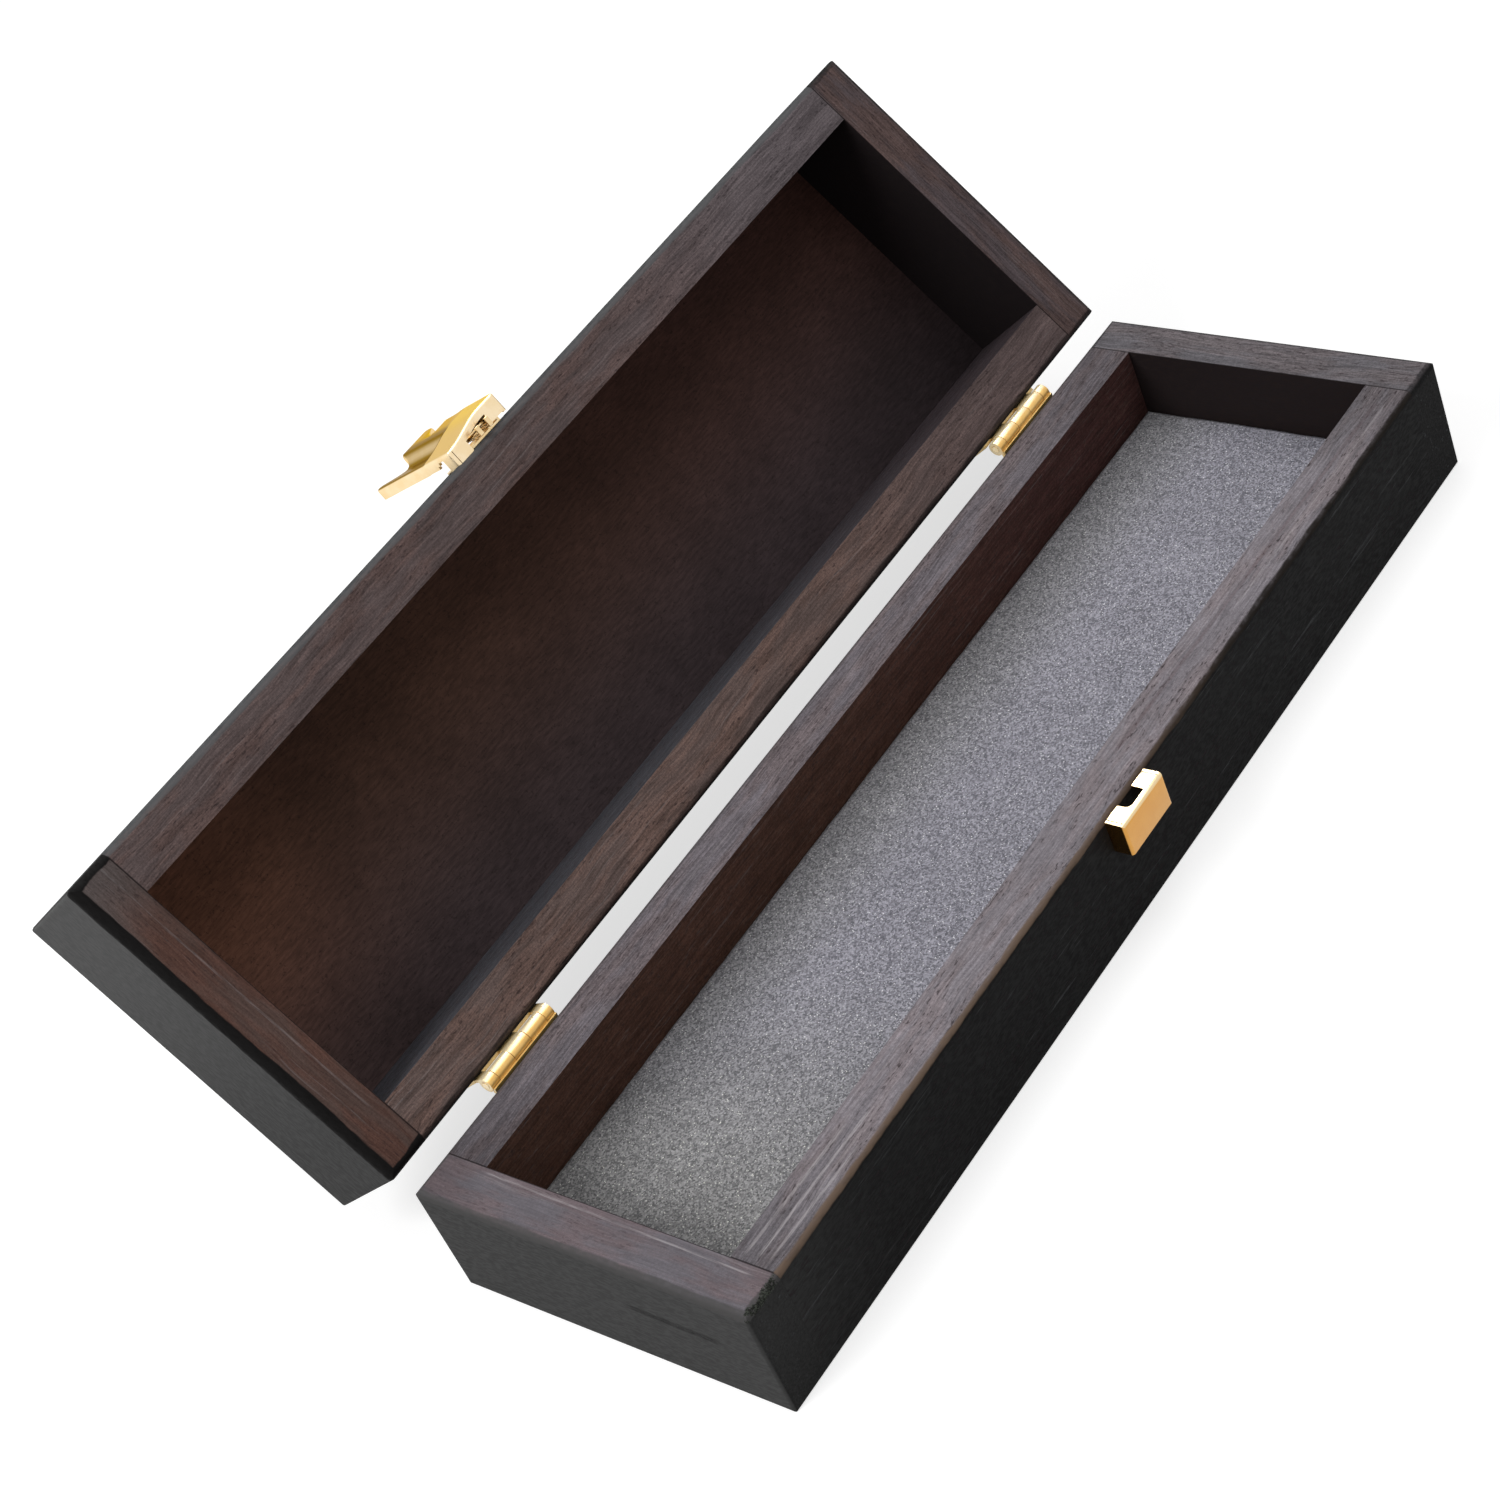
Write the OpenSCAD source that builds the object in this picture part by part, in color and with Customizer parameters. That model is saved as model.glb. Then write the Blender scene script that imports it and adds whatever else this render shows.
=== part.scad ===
// Knife box: a slim hinged wooden case with a foam bed, two brass hinges and a lever catch.
// Millimetres. The base stands on z = 0, centred on the origin, with its length along X,
// the catch on its -Y face and the hinges on its +Y face.
// The lid and the catch are drawn as closed, then swung open about the hinge pins.

/* [Box] */
// Length of the box, outside
box_l = 230; // [190:1:280]
// Width of the box, outside, front face to back face
box_w = 71; // [60:0.5:90]
// Height of the base
base_h = 24.4; // [22:0.1:34]
// Height of the lid
lid_h = 26.8; // [25:0.1:34]
// Thickness of the front and back rails
rail_t = 9.5; // [8:0.1:11]
// Thickness of the end rails
end_t = 9; // [8:0.1:11]
// Radius worked on the outer edge of each rim
rim_r = 1.4; // [0.6:0.1:2]
// Radius on the four upright corners
corner_r = 0.8; // [0.4:0.1:1.2]
// Radius on the outer edges of the bottom and the top
foot_r = 0.5; // [0.2:0.1:1]
// Gap between the two rims when the box is shut
rim_gap = 0.2; // [0.1:0.05:0.5]
// How far the lid stands open, in degrees from shut
open_angle = 127.6; // [100:0.1:150]

/* [Panels and foam] */
// Thickness of the bottom and top panels
panel_t = 4.2; // [3:0.1:5]
// How far the panels reach into the rails
rebate_w = 4.5; // [3:0.1:6]
// Gap round the edge of a panel in its rebate
panel_gap = 0.15; // [0.1:0.05:0.3]
// Height of the rim above the top of the foam
foam_drop = 13.6; // [10:0.1:15]
// Gap between the foam and the rails
foam_gap = 0.3; // [0.2:0.05:0.6]

/* [Hinges] */
// Distance of each hinge's middle from its end of the box
hinge_inset = 32; // [27:0.5:60]
// Width of a hinge along its pin
hinge_w = 18; // [16:0.1:20]
// Height of a leaf on the wood, below its knuckles
leaf_h = 7; // [6:0.1:9]
// Thickness of the leaf sheet
leaf_t = 0.7; // [0.5:0.05:0.8]
// Outside radius of the knuckles
knuckle_r = 1.5; // [1.4:0.05:1.6]
// Distance of the pin's axis from the back face
pin_offset = 2; // [1.8:0.05:2.3]
// Length of the two end knuckles
end_knuckle = 2.2; // [2:0.1:3]
// Gap between one knuckle and the next
knuckle_gap = 0.12; // [0.08:0.01:0.2]
// Radius of the hinge pin
hinge_pin_r = 0.7; // [0.5:0.05:0.8]

/* [Nails] */
// Radius of a nail's head
head_r = 0.95; // [0.8:0.05:1.1]
// Height of a nail's head
head_h = 0.4; // [0.3:0.05:0.5]
// Radius of a nail's shank
shank_r = 0.4; // [0.3:0.05:0.5]
// Length of a nail in the wood
nail_l = 5; // [4:0.1:6]
// Distance from the middle of a hinge to its nails
hinge_nail_x = 5.6; // [4:0.1:6]
// How far a hinge's nails lie beyond the middle of their leaf's height
hinge_nail_shift = 0.6; // [0:0.1:1]
// Distance from the middle of the catch plate to its nails
plate_nail_x = 3.4; // [3:0.1:3.6]

/* [Keeper] */
// Middle of the keeper and of the catch along the box
catch_x = -0.2; // [-4:0.05:4]
// Width of the keeper
keeper_w = 13.2; // [12:0.1:14]
// Height of the keeper's front
keeper_h = 6.9; // [6:0.1:8]
// How far the keeper stands out from the front face
keeper_d = 3.8; // [3.6:0.05:4.2]
// Distance from the base's rim down to the keeper's top
keeper_drop = 0.5; // [0.3:0.05:0.7]
// Thickness of the keeper sheet
keeper_t = 0.6; // [0.5:0.05:0.7]
// Outside radius of the keeper's bends
keeper_bend = 0.9; // [0.6:0.05:1.2]
// Width of the notch in the keeper's top
notch_w = 4.8; // [4.7:0.05:5.4]
// Depth of the notch, measured from the wood
notch_d = 2.55; // [2.5:0.05:2.8]
// Radius in the notch's inner corner on the near side
notch_r = 1.2; // [0.4:0.1:1.4]
// Width of the slit beside each end of the keeper's top
slit_w = 0.15; // [0.1:0.05:0.25]
// Length of the keeper's two prongs in the wood
prong_l = 4; // [3:0.1:6]
// Width of a prong
prong_w = 2; // [1.5:0.1:3]
// Gap round a prong or a nail in the wood
drive_gap = 0.02; // [0.01:0.01:0.05]

/* [Catch] */
// Height of the catch pin above the lid's rim
catch_pin_z = 2.2; // [2:0.05:2.4]
// Distance of the catch pin's axis from the lid's front face
catch_pin_o = 2.2; // [2.1:0.05:2.3]
// Radius of the catch pin
catch_pin_r = 0.4; // [0.3:0.05:0.45]
// Running gap round the pins
pin_gap = 0.04; // [0.02:0.01:0.08]
// Thickness of the catch plate and its ears
plate_t = 0.5; // [0.4:0.05:0.6]
// Half of the catch plate's width
plate_half = 5.6; // [5.5:0.05:5.8]
// Height of the catch plate's lower edge above the rim
plate_low = 1.5; // [1.4:0.05:1.8]
// Height of the catch plate's upper edge above the rim
plate_high = 9.5; // [9:0.1:11]
// Height of the ears' top above the rim
ear_high = 4; // [3.6:0.1:4.4]
// Metal left outside the pin in the ears
ear_wall = 0.4; // [0.3:0.05:0.5]
// How far the lever stands away from the lid, in degrees from pressed flat
lever_tilt = 9.4; // [7:0.1:9.6]
// Thickness of the lever sheet
lever_t = 0.6; // [0.4:0.05:0.7]
// Distance of the flat lever's face from the lid's front face
lever_face = 4.9; // [4.7:0.05:5.4]
// Depth of the lever's turned-back edge
lever_rim = 2.6; // [2:0.1:2.8]
// Half of the lever's width over the keeper
body_half = 7.6; // [7.2:0.05:8]
// Half of the lever's width at its waist
waist_half = 4.6; // [4:0.05:5.5]
// Half of the lever's width across the thumb tab
tab_half = 7.7; // [7:0.05:8.4]
// Height of the lever's lower edge above the rim
lever_low = 0.3; // [0.2:0.05:0.5]
// Height where the lever starts to narrow
taper_z = 17.8; // [16:0.1:18.2]
// Height of the waist
waist_z = 20.6; // [20:0.1:21.2]
// Height where the thumb tab is at its widest
tab_z = 25.6; // [24:0.1:25.8]
// Height of the lever's tip
tip_z = 27.6; // [27.2:0.1:29]
// Radius of the thumb tab's corners
tab_r = 1.4; // [0.8:0.1:1.4]
// Depth of the dip in the middle of the tip
dip_d = 2.2; // [1:0.1:2.4]
// Half of the dip's width
dip_half = 2.8; // [2:0.1:4]
// Height of the cheeks at the lever's lower end
cheek_z = 4.3; // [3.8:0.1:5]
// Distance of the cheeks' inner edge from the lid's front face
cheek_o = 0.85; // [0.8:0.05:1]
// Distance of the floor's inner edge from the lid's front face
floor_o = 1.1; // [1.1:0.05:1.4]
// Half of the width of the cut in the lever's floor
cut_half = 3.2; // [3:0.05:3.4]
// Length of each of the two eyes that turn on the pin
eye_w = 1.6; // [1.2:0.05:1.7]
// Outside radius of the eyes
eye_r = 0.95; // [0.8:0.05:1]
// Distance of the cut's outer edge from the lid's front face
cut_o = 3.2; // [3.1:0.05:3.4]

/* [Hook] */
// Distance of the hook's far edge from its middle
hook_far = 2.2; // [2:0.05:2.3]
// Distance of the hook's near edge from its middle, less, to pass the notch's round corner
hook_near = 1.4; // [1.2:0.05:1.45]
// Width of each of the hook's two prongs
hook_prong = 0.9; // [0.7:0.05:1]
// Thickness of the hook sheet
hook_t = 0.5; // [0.4:0.05:0.55]
// Distance of the hook's back from the lid's front face
hook_o = 1.2; // [1.15:0.05:1.25]
// Reach of the barb, measured from the lid's front face
barb_o = 3.05; // [2.9:0.05:3.1]
// Gap between the barb and the underside of the keeper's top
barb_gap = 0.15; // [0.1:0.05:0.3]
// Height of the hook's upper end above the rim
hook_high = 7; // [6:0.1:8]
// Gap between the catch pin and the hook's bridge over it
bridge_gap = 0.7; // [0.6:0.05:0.9]

/* [Hidden] */
$fn = 48;
eps = 0.01;
// What a cut passes beyond the face that it opens
over = 1;

// Half of the box's length and width, and of the space inside it, and the hinges' places
half_l = box_l / 2;
half_w = box_w / 2;
in_l = half_l - end_t;
in_w = half_w - rail_t;
hinge_x = half_l - hinge_inset;
// Height of the hinge axis and of the shut lid's rim
axis_y = half_w + pin_offset;
axis_z = base_h + rim_gap / 2;
lid_z = base_h + rim_gap;
// Length of each of the three middle knuckles, with its share of the gaps
mid_knuckle = (hinge_w - 2 * end_knuckle) / 3;
// Where each of the five knuckles starts, from the hinge's middle
knuckle_at = [-hinge_w / 2, -hinge_w / 2 + end_knuckle, -mid_knuckle / 2, mid_knuckle / 2,
              hinge_w / 2 - end_knuckle];
knuckle_len = [end_knuckle, mid_knuckle, mid_knuckle, mid_knuckle, end_knuckle];
// Distance of a leaf's edge from the axis, so that the other leaf's knuckles pass it
leaf_clear = pin_offset;
// Distance of a leaf's nails from the height of the axis
hinge_nail_z = leaf_clear + leaf_h / 2 + hinge_nail_shift;
// Underside of the keeper's top, measured from the shut lid's rim
keeper_under = -rim_gap - keeper_drop - keeper_t;
// Lower edge of the hook
barb_top = keeper_under - barb_gap;
hook_low = barb_top - hook_t;
// Height of the underside of the hook's bridge
bridge_z = catch_pin_z + catch_pin_r + bridge_gap;
// Nails of the catch plate, halfway between the ears and the plate's upper edge
plate_nail_z = (ear_high + plate_high) / 2;
// Steps in the curve of the lever's sides, in the corners of its tab and in each half of its dip
side_steps = 18;
tab_steps = 6;
dip_steps = 5;

brass = [0.86, 0.66, 0.3];
pale_brass = [0.93, 0.8, 0.52];
dark_wood = [0.19, 0.16, 0.16];
inner_wood = [0.24, 0.17, 0.15];
foam_grey = [0.43, 0.44, 0.45];

// Opens the lid and what rides on it
module opened() {
    translate([0, axis_y, axis_z])
        rotate([-open_angle, 0, 0])
            translate([0, -axis_y, -axis_z])
                children();
}

// Tilts the lever and its hook outwards about the catch pin, still with the lid shut
module tilted() {
    translate([0, -half_w - catch_pin_o, lid_z + catch_pin_z])
        rotate([lever_tilt, 0, 0])
            translate([0, half_w + catch_pin_o, -lid_z - catch_pin_z])
                children();
}

// What is left outside a quarter circle in a square corner, with the corner at the origin
module corner_waste(r) {
    difference() {
        translate([-eps, -eps])
            square(r + eps);
        translate([r, r])
            circle(r);
    }
}

// Rectangle from -half to half and 0 to h, with its lower and its upper corners rounded
module rounded_section(half, h, low_r, high_r) {
    difference() {
        translate([-half, 0])
            square([2 * half, h]);
        for (side = [0, 1])
            mirror([side, 0]) {
                translate([-half, 0])
                    corner_waste(low_r);
                translate([-half, h])
                    mirror([0, 1])
                        corner_waste(high_r);
            }
    }
}

// Outer form of half of the box, its rim upwards and its closed side on z = 0
module outer_block(h) {
    intersection() {
        translate([half_l, 0, 0])
            rotate([90, 0, -90])
                linear_extrude(box_l)
                    rounded_section(half_w, h, foot_r, rim_r);
        translate([0, half_w, 0])
            rotate([90, 0, 0])
                linear_extrude(box_w)
                    rounded_section(half_l, h, foot_r, rim_r);
        translate([0, -half_w, 0])
            linear_extrude(h)
                rounded_section(half_l, box_w, corner_r, corner_r);
    }
}

// Space cut in the rails for a panel
module panel_space() {
    translate([-in_l - rebate_w, -in_w - rebate_w, -over])
        cube([2 * (in_l + rebate_w), 2 * (in_w + rebate_w), panel_t + over]);
}

// Long rail of half of the box; side is -1 for the front and 1 for the back
module long_rail(h, side) {
    intersection() {
        outer_block(h);
        difference() {
            translate([-in_l, side < 0 ? -half_w : in_w, 0])
                cube([2 * in_l, rail_t, h]);
            panel_space();
        }
    }
}

// End rail of half of the box, which the long rails butt against
module end_rail(h, side) {
    intersection() {
        outer_block(h);
        difference() {
            translate([side < 0 ? -half_l : in_l, -half_w, 0])
                cube([end_t, box_w, h]);
            panel_space();
        }
    }
}

// Panel in its rebate, flush with the edges of the rails
module panel() {
    grow = rebate_w - panel_gap;
    translate([-in_l - grow, -in_w - grow, 0])
        cube([2 * (in_l + grow), 2 * (in_w + grow), panel_t]);
}

// Turns half of the box over and sets it on the base, as the shut lid
module lid_way_up() {
    translate([0, 0, lid_z + lid_h])
        mirror([0, 0, 1])
            children();
}

// Round-headed nail standing on z = 0, its shank downwards, gap wider all round
module nail(gap = 0) {
    translate([0, 0, -nail_l - gap])
        cylinder(r = shank_r + gap, h = nail_l + gap + eps, $fn = 24);
    if (gap == 0)
        nail_head();
}

// Low dome of a nail
module nail_head() {
    ball_r = (head_r * head_r + head_h * head_h) / (2 * head_h);
    rotate_extrude($fn = 24)
        intersection() {
            translate([0, head_h - ball_r])
                circle(ball_r, $fn = 64);
            square([head_r, head_h]);
        }
}

// Places of one hinge's two nails on the back face; up is -1 for the base and 1 for the lid
module at_hinge_nails(up) {
    for (hinge = [-1, 1], side = [-1, 1])
        translate([hinge * hinge_x + side * hinge_nail_x, half_w + leaf_t, axis_z + up * hinge_nail_z])
            rotate([-90, 0, 0])
                children();
}

// Places of the catch plate's nails on the lid's front face
module at_catch_nails() {
    for (side = [-1, 1])
        translate([catch_x + side * plate_nail_x, -half_w - plate_t, lid_z + plate_nail_z])
            rotate([90, 0, 0])
                children();
}

// Section of a leaf where it has a knuckle, with the axis at the origin and the wood on the left
module leaf_section() {
    polygon([[-pin_offset, -leaf_clear], [-pin_offset + leaf_t, -leaf_clear],
             [-knuckle_r + leaf_t, 0], [-knuckle_r + eps, 0]]);
    circle(knuckle_r);
}

// Leaf that hangs down the back face below the axis, with its first, third and fifth knuckles,
// or its second and fourth when odd is false
module leaf(odd) {
    first = odd ? 0 : 1;
    difference() {
        union() {
            translate([-hinge_w / 2, -pin_offset, -leaf_clear - leaf_h])
                cube([hinge_w, leaf_t, leaf_h]);
            for (k = [first : 2 : 4])
                translate([knuckle_at[k] + knuckle_gap / 2, 0, 0])
                    rotate([90, 0, 90])
                        linear_extrude(knuckle_len[k] - knuckle_gap)
                            leaf_section();
        }
        translate([-hinge_w / 2 - over, 0, 0])
            rotate([0, 90, 0])
                cylinder(r = hinge_pin_r + pin_gap, h = hinge_w + 2 * over, $fn = 32);
        for (side = [-1, 1])
            translate([side * hinge_nail_x, -pin_offset - over, -hinge_nail_z])
                rotate([-90, 0, 0])
                    cylinder(r = shank_r + drive_gap, h = leaf_t + 2 * over, $fn = 24);
    }
}

// Hinge pin with the axis at the origin
module hinge_pin() {
    translate([-hinge_w / 2, 0, 0])
        rotate([0, 90, 0])
            cylinder(r = hinge_pin_r, h = hinge_w, $fn = 32);
}

// Sets a hinge part on its axis
module at_hinge(side) {
    translate([side * hinge_x, axis_y, axis_z])
        children();
}

// Flat shape in X and height above the lid's rim, drawn out from o_low to o_high off the front face
module outward(o_low, o_high) {
    translate([catch_x, -half_w - o_low, lid_z])
        rotate([90, 0, 0])
            linear_extrude(o_high - o_low)
                children();
}

// Smooth step from 0 to 1
function ease(a) = (1 - cos(180 * a)) / 2;
function blend(low, high, a) = low + (high - low) * ease(a);

// Half of the lever's width at height z, with its tab's corners rounded
function lever_half(z) =
    z < taper_z ? body_half :
    z < waist_z ? blend(body_half, waist_half, (z - taper_z) / (waist_z - taper_z)) :
    z < tab_z ? blend(waist_half, tab_half, (z - waist_z) / (tab_z - waist_z)) :
    z < tip_z - tab_r ? tab_half :
    tab_half - tab_r + sqrt(max(0, pow(tab_r, 2) - pow(z - tip_z + tab_r, 2)));

// Heights of the points along one side of the lever, closer together where it curves
lever_steps = concat([lever_low],
                     [for (i = [0 : side_steps]) taper_z + (tab_z - taper_z) * i / side_steps],
                     [for (i = [0 : tab_steps]) tip_z - tab_r + tab_r * sin(90 * i / tab_steps)]);

// Outline of the lever, drawn in by inset
module lever_outline(inset = 0) {
    side = [for (z = lever_steps)
            [lever_half(z) - inset, max(lever_low + inset, min(z, tip_z - inset))]];
    dip = [for (i = [-dip_steps : dip_steps])
           [-dip_half * i / dip_steps, tip_z - inset - dip_d * ease(1 - abs(i) / dip_steps)]];
    polygon(concat(side, dip,
                   [for (i = [len(side) - 1 : -1 : 0]) [-side[i][0], side[i][1]]]));
}

module base_front_rail() {
    color(dark_wood)
        difference() {
            long_rail(base_h, -1);
            keeper_prongs(drive_gap);
        }
}

module base_back_rail() {
    color(dark_wood)
        difference() {
            long_rail(base_h, 1);
            at_hinge_nails(-1)
                translate([0, 0, -leaf_t])
                    nail(drive_gap);
        }
}

module base_near_end() {
    color(dark_wood)
        end_rail(base_h, -1);
}

module base_far_end() {
    color(dark_wood)
        end_rail(base_h, 1);
}

module base_panel() {
    color(inner_wood)
        panel();
}

module foam_pad() {
    color(foam_grey)
        translate([-in_l + foam_gap, -in_w + foam_gap, panel_t])
            cube([2 * (in_l - foam_gap), 2 * (in_w - foam_gap), base_h - foam_drop - panel_t]);
}

// Prongs turned in from the keeper's sides and driven into the front rail
module keeper_prongs(gap = 0) {
    middle_z = base_h - keeper_drop - keeper_h / 2;
    for (side = [-1, 1])
        translate([catch_x + side * (keeper_w - keeper_t) / 2, -half_w, middle_z])
            translate([-keeper_t / 2 - gap, -eps, -prong_w / 2 - gap])
                cube([keeper_t + 2 * gap, prong_l + gap + eps, prong_w + 2 * gap]);
}

// Keeper: a folded box whose notched top holds the hook
module keeper() {
    top_half = keeper_w / 2 - keeper_t - slit_w;
    color(brass) {
        difference() {
            intersection() {
                union() {
                    translate([catch_x, -half_w - keeper_d, base_h - keeper_drop - keeper_h])
                        linear_extrude(keeper_h)
                            difference() {
                                rounded_section(keeper_w / 2, keeper_d, keeper_t, eps);
                                translate([-keeper_w / 2 + keeper_t, keeper_t])
                                    square([keeper_w - 2 * keeper_t, keeper_d]);
                            }
                    translate([catch_x - top_half, -half_w - keeper_d, base_h - keeper_drop - keeper_t])
                        cube([2 * top_half, keeper_d, keeper_t]);
                }
                translate([catch_x - keeper_w, -half_w, base_h - keeper_drop])
                    rotate([180, 0, 0])
                        rotate([90, 0, 90])
                            linear_extrude(2 * keeper_w)
                                difference() {
                                    square([keeper_d, keeper_h]);
                                    translate([keeper_d, 0])
                                        mirror([1, 0])
                                            corner_waste(keeper_bend);
                                }
            }
            keeper_slits(top_half);
            translate([catch_x, -half_w, base_h - keeper_drop - keeper_t - over])
                mirror([0, 1, 0])
                    linear_extrude(keeper_t + 2 * over)
                        notch_outline();
        }
        keeper_prongs();
    }
}

// Notch seen from above, open at the wood, with one round corner
module notch_outline() {
    difference() {
        translate([-notch_w / 2, -over])
            square([notch_w, notch_d + over]);
        translate([-notch_w / 2, notch_d])
            mirror([0, 1])
                corner_waste(notch_r);
    }
}

// Slits that part the keeper's top from its sides
module keeper_slits(top_half) {
    for (side = [-1, 1])
        translate([catch_x + side * (top_half + slit_w / 2), -half_w - keeper_d + keeper_bend, base_h])
            translate([-slit_w / 2, 0, -keeper_drop - keeper_t - over])
                cube([slit_w, keeper_d, keeper_t + 2 * over]);
}

module near_hinge_base_leaf() {
    color(brass)
        at_hinge(-1)
            leaf(odd = false);
}

module near_hinge_lid_leaf() {
    color(brass)
        opened()
            at_hinge(-1)
                mirror([0, 0, 1])
                    leaf(odd = true);
}

module near_hinge_pin() {
    color(pale_brass)
        at_hinge(-1)
            hinge_pin();
}

module far_hinge_base_leaf() {
    color(brass)
        at_hinge(1)
            leaf(odd = true);
}

module far_hinge_lid_leaf() {
    color(brass)
        opened()
            at_hinge(1)
                mirror([0, 0, 1])
                    leaf(odd = false);
}

module far_hinge_pin() {
    color(pale_brass)
        at_hinge(1)
            hinge_pin();
}

module hinge_base_nails() {
    color(pale_brass)
        at_hinge_nails(-1)
            nail();
}

module hinge_lid_nails() {
    color(pale_brass)
        opened()
            at_hinge_nails(1)
                nail();
}

module lid_front_rail() {
    color(dark_wood)
        opened()
            difference() {
                lid_way_up()
                    long_rail(lid_h, -1);
                at_catch_nails()
                    translate([0, 0, -plate_t])
                        nail(drive_gap);
            }
}

module lid_back_rail() {
    color(dark_wood)
        opened()
            difference() {
                lid_way_up()
                    long_rail(lid_h, 1);
                at_hinge_nails(1)
                    translate([0, 0, -leaf_t])
                        nail(drive_gap);
            }
}

module lid_near_end() {
    color(dark_wood)
        opened()
            lid_way_up()
                end_rail(lid_h, -1);
}

module lid_far_end() {
    color(dark_wood)
        opened()
            lid_way_up()
                end_rail(lid_h, 1);
}

module lid_panel() {
    color(inner_wood)
        opened()
            lid_way_up()
                panel();
}

// Pin bore along X at the catch pin's axis
module catch_bore(r) {
    translate([catch_x - plate_half - slit_w, -half_w - catch_pin_o, lid_z + catch_pin_z])
        rotate([0, 90, 0])
            cylinder(r = r, h = 2 * (plate_half + slit_w), $fn = 24);
}

// Plate nailed to the lid's front, with two ears turned out to hold the pin
module catch_plate() {
    ear_o = catch_pin_o + catch_pin_r + ear_wall;
    color(brass)
        opened()
            difference() {
                union() {
                    outward(0, plate_t)
                        translate([-plate_half, plate_low])
                            square([2 * plate_half, plate_high - plate_low]);
                    for (side = [0, 1])
                        outward(0, ear_o)
                            mirror([side, 0])
                                translate([plate_half - plate_t, plate_low])
                                    square([plate_t, ear_high - plate_low]);
                }
                catch_bore(catch_pin_r + pin_gap);
                at_catch_nails()
                    translate([0, 0, -plate_t - over])
                        cylinder(r = shank_r + drive_gap, h = plate_t + 2 * over, $fn = 24);
            }
}

module catch_nails() {
    color(pale_brass)
        opened()
            at_catch_nails()
                nail();
}

module catch_pin() {
    color(pale_brass)
        opened()
            translate([catch_x - plate_half, -half_w - catch_pin_o, lid_z + catch_pin_z])
                rotate([0, 90, 0])
                    cylinder(r = catch_pin_r, h = 2 * plate_half, $fn = 24);
}

// Lever: pressed from one sheet, its edge turned back all round, turning on the pin by two eyes
module catch_lever() {
    color(brass)
        opened()
            tilted()
                difference() {
                    union() {
                        outward(lever_face - lever_t, lever_face)
                            lever_outline();
                        outward(lever_face - lever_rim, lever_face)
                            difference() {
                                lever_outline();
                                lever_outline(lever_t);
                            }
                        lever_box();
                        lever_eyes();
                    }
                    outward(-over, cut_o)
                        translate([-cut_half, lever_low - over])
                            square([2 * cut_half, lever_t + 2 * over]);
                    lever_slits();
                    catch_bore(catch_pin_r + pin_gap);
                }
}

// Cheeks and floor of the lever's lower end
module lever_box() {
    for (side = [0, 1])
        outward(cheek_o, lever_face)
            mirror([side, 0])
                translate([body_half - lever_t, lever_low])
                    square([lever_t, cheek_z - lever_low]);
    outward(floor_o, lever_face)
        translate([-body_half + lever_t, lever_low])
            square([2 * (body_half - lever_t), lever_t]);
}

// Eyes curled up from the lever's floor round the pin
module lever_eyes() {
    for (side = [0, 1])
        translate([catch_x, 0, 0])
            mirror([side, 0, 0])
                translate([cut_half, -half_w - catch_pin_o, lid_z + catch_pin_z])
                    rotate([90, 0, 90])
                        linear_extrude(eye_w) {
                            circle(eye_r, $fn = 32);
                            translate([-eye_r, lever_low - catch_pin_z])
                                square([eye_r + catch_pin_r, catch_pin_z - lever_low]);
                        }
}

// Slits that part the lever's floor from its cheeks
module lever_slits() {
    for (side = [0, 1])
        outward(-over, lever_face - 2 * lever_t)
            mirror([side, 0])
                translate([body_half - lever_t - slit_w, lever_low - over])
                    square([slit_w, lever_t + over + eps]);
}

// Hook: a strap fixed inside the lever that passes behind the pin and ends in two barbed prongs
module catch_hook() {
    inner_face = lever_face - lever_t;
    hook_w = hook_near + hook_far;
    color(pale_brass)
        opened()
            tilted()
                difference() {
                    union() {
                        outward(hook_o, hook_o + hook_t)
                            translate([-hook_near, hook_low])
                                square([hook_w, bridge_z + hook_t - hook_low]);
                        outward(hook_o, inner_face)
                            translate([-hook_near, bridge_z])
                                square([hook_w, hook_t]);
                        outward(inner_face - hook_t, inner_face)
                            translate([-hook_near, bridge_z])
                                square([hook_w, hook_high - bridge_z]);
                        outward(hook_o, barb_o)
                            translate([-hook_near, hook_low])
                                square([hook_w, hook_t]);
                    }
                    outward(hook_o - over, barb_o + over)
                        translate([-hook_near + hook_prong, hook_low - over])
                            square([hook_w - 2 * hook_prong, catch_pin_z - hook_low + over]);
                }
}

base_front_rail();
base_back_rail();
base_near_end();
base_far_end();
base_panel();
foam_pad();
keeper();
near_hinge_base_leaf();
near_hinge_lid_leaf();
near_hinge_pin();
far_hinge_base_leaf();
far_hinge_lid_leaf();
far_hinge_pin();
hinge_base_nails();
hinge_lid_nails();
lid_front_rail();
lid_back_rail();
lid_near_end();
lid_far_end();
lid_panel();
catch_plate();
catch_nails();
catch_pin();
catch_lever();
catch_hook();
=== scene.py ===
import math

import bmesh
import bpy
from mathutils import Matrix, Vector, geometry, noise


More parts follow.
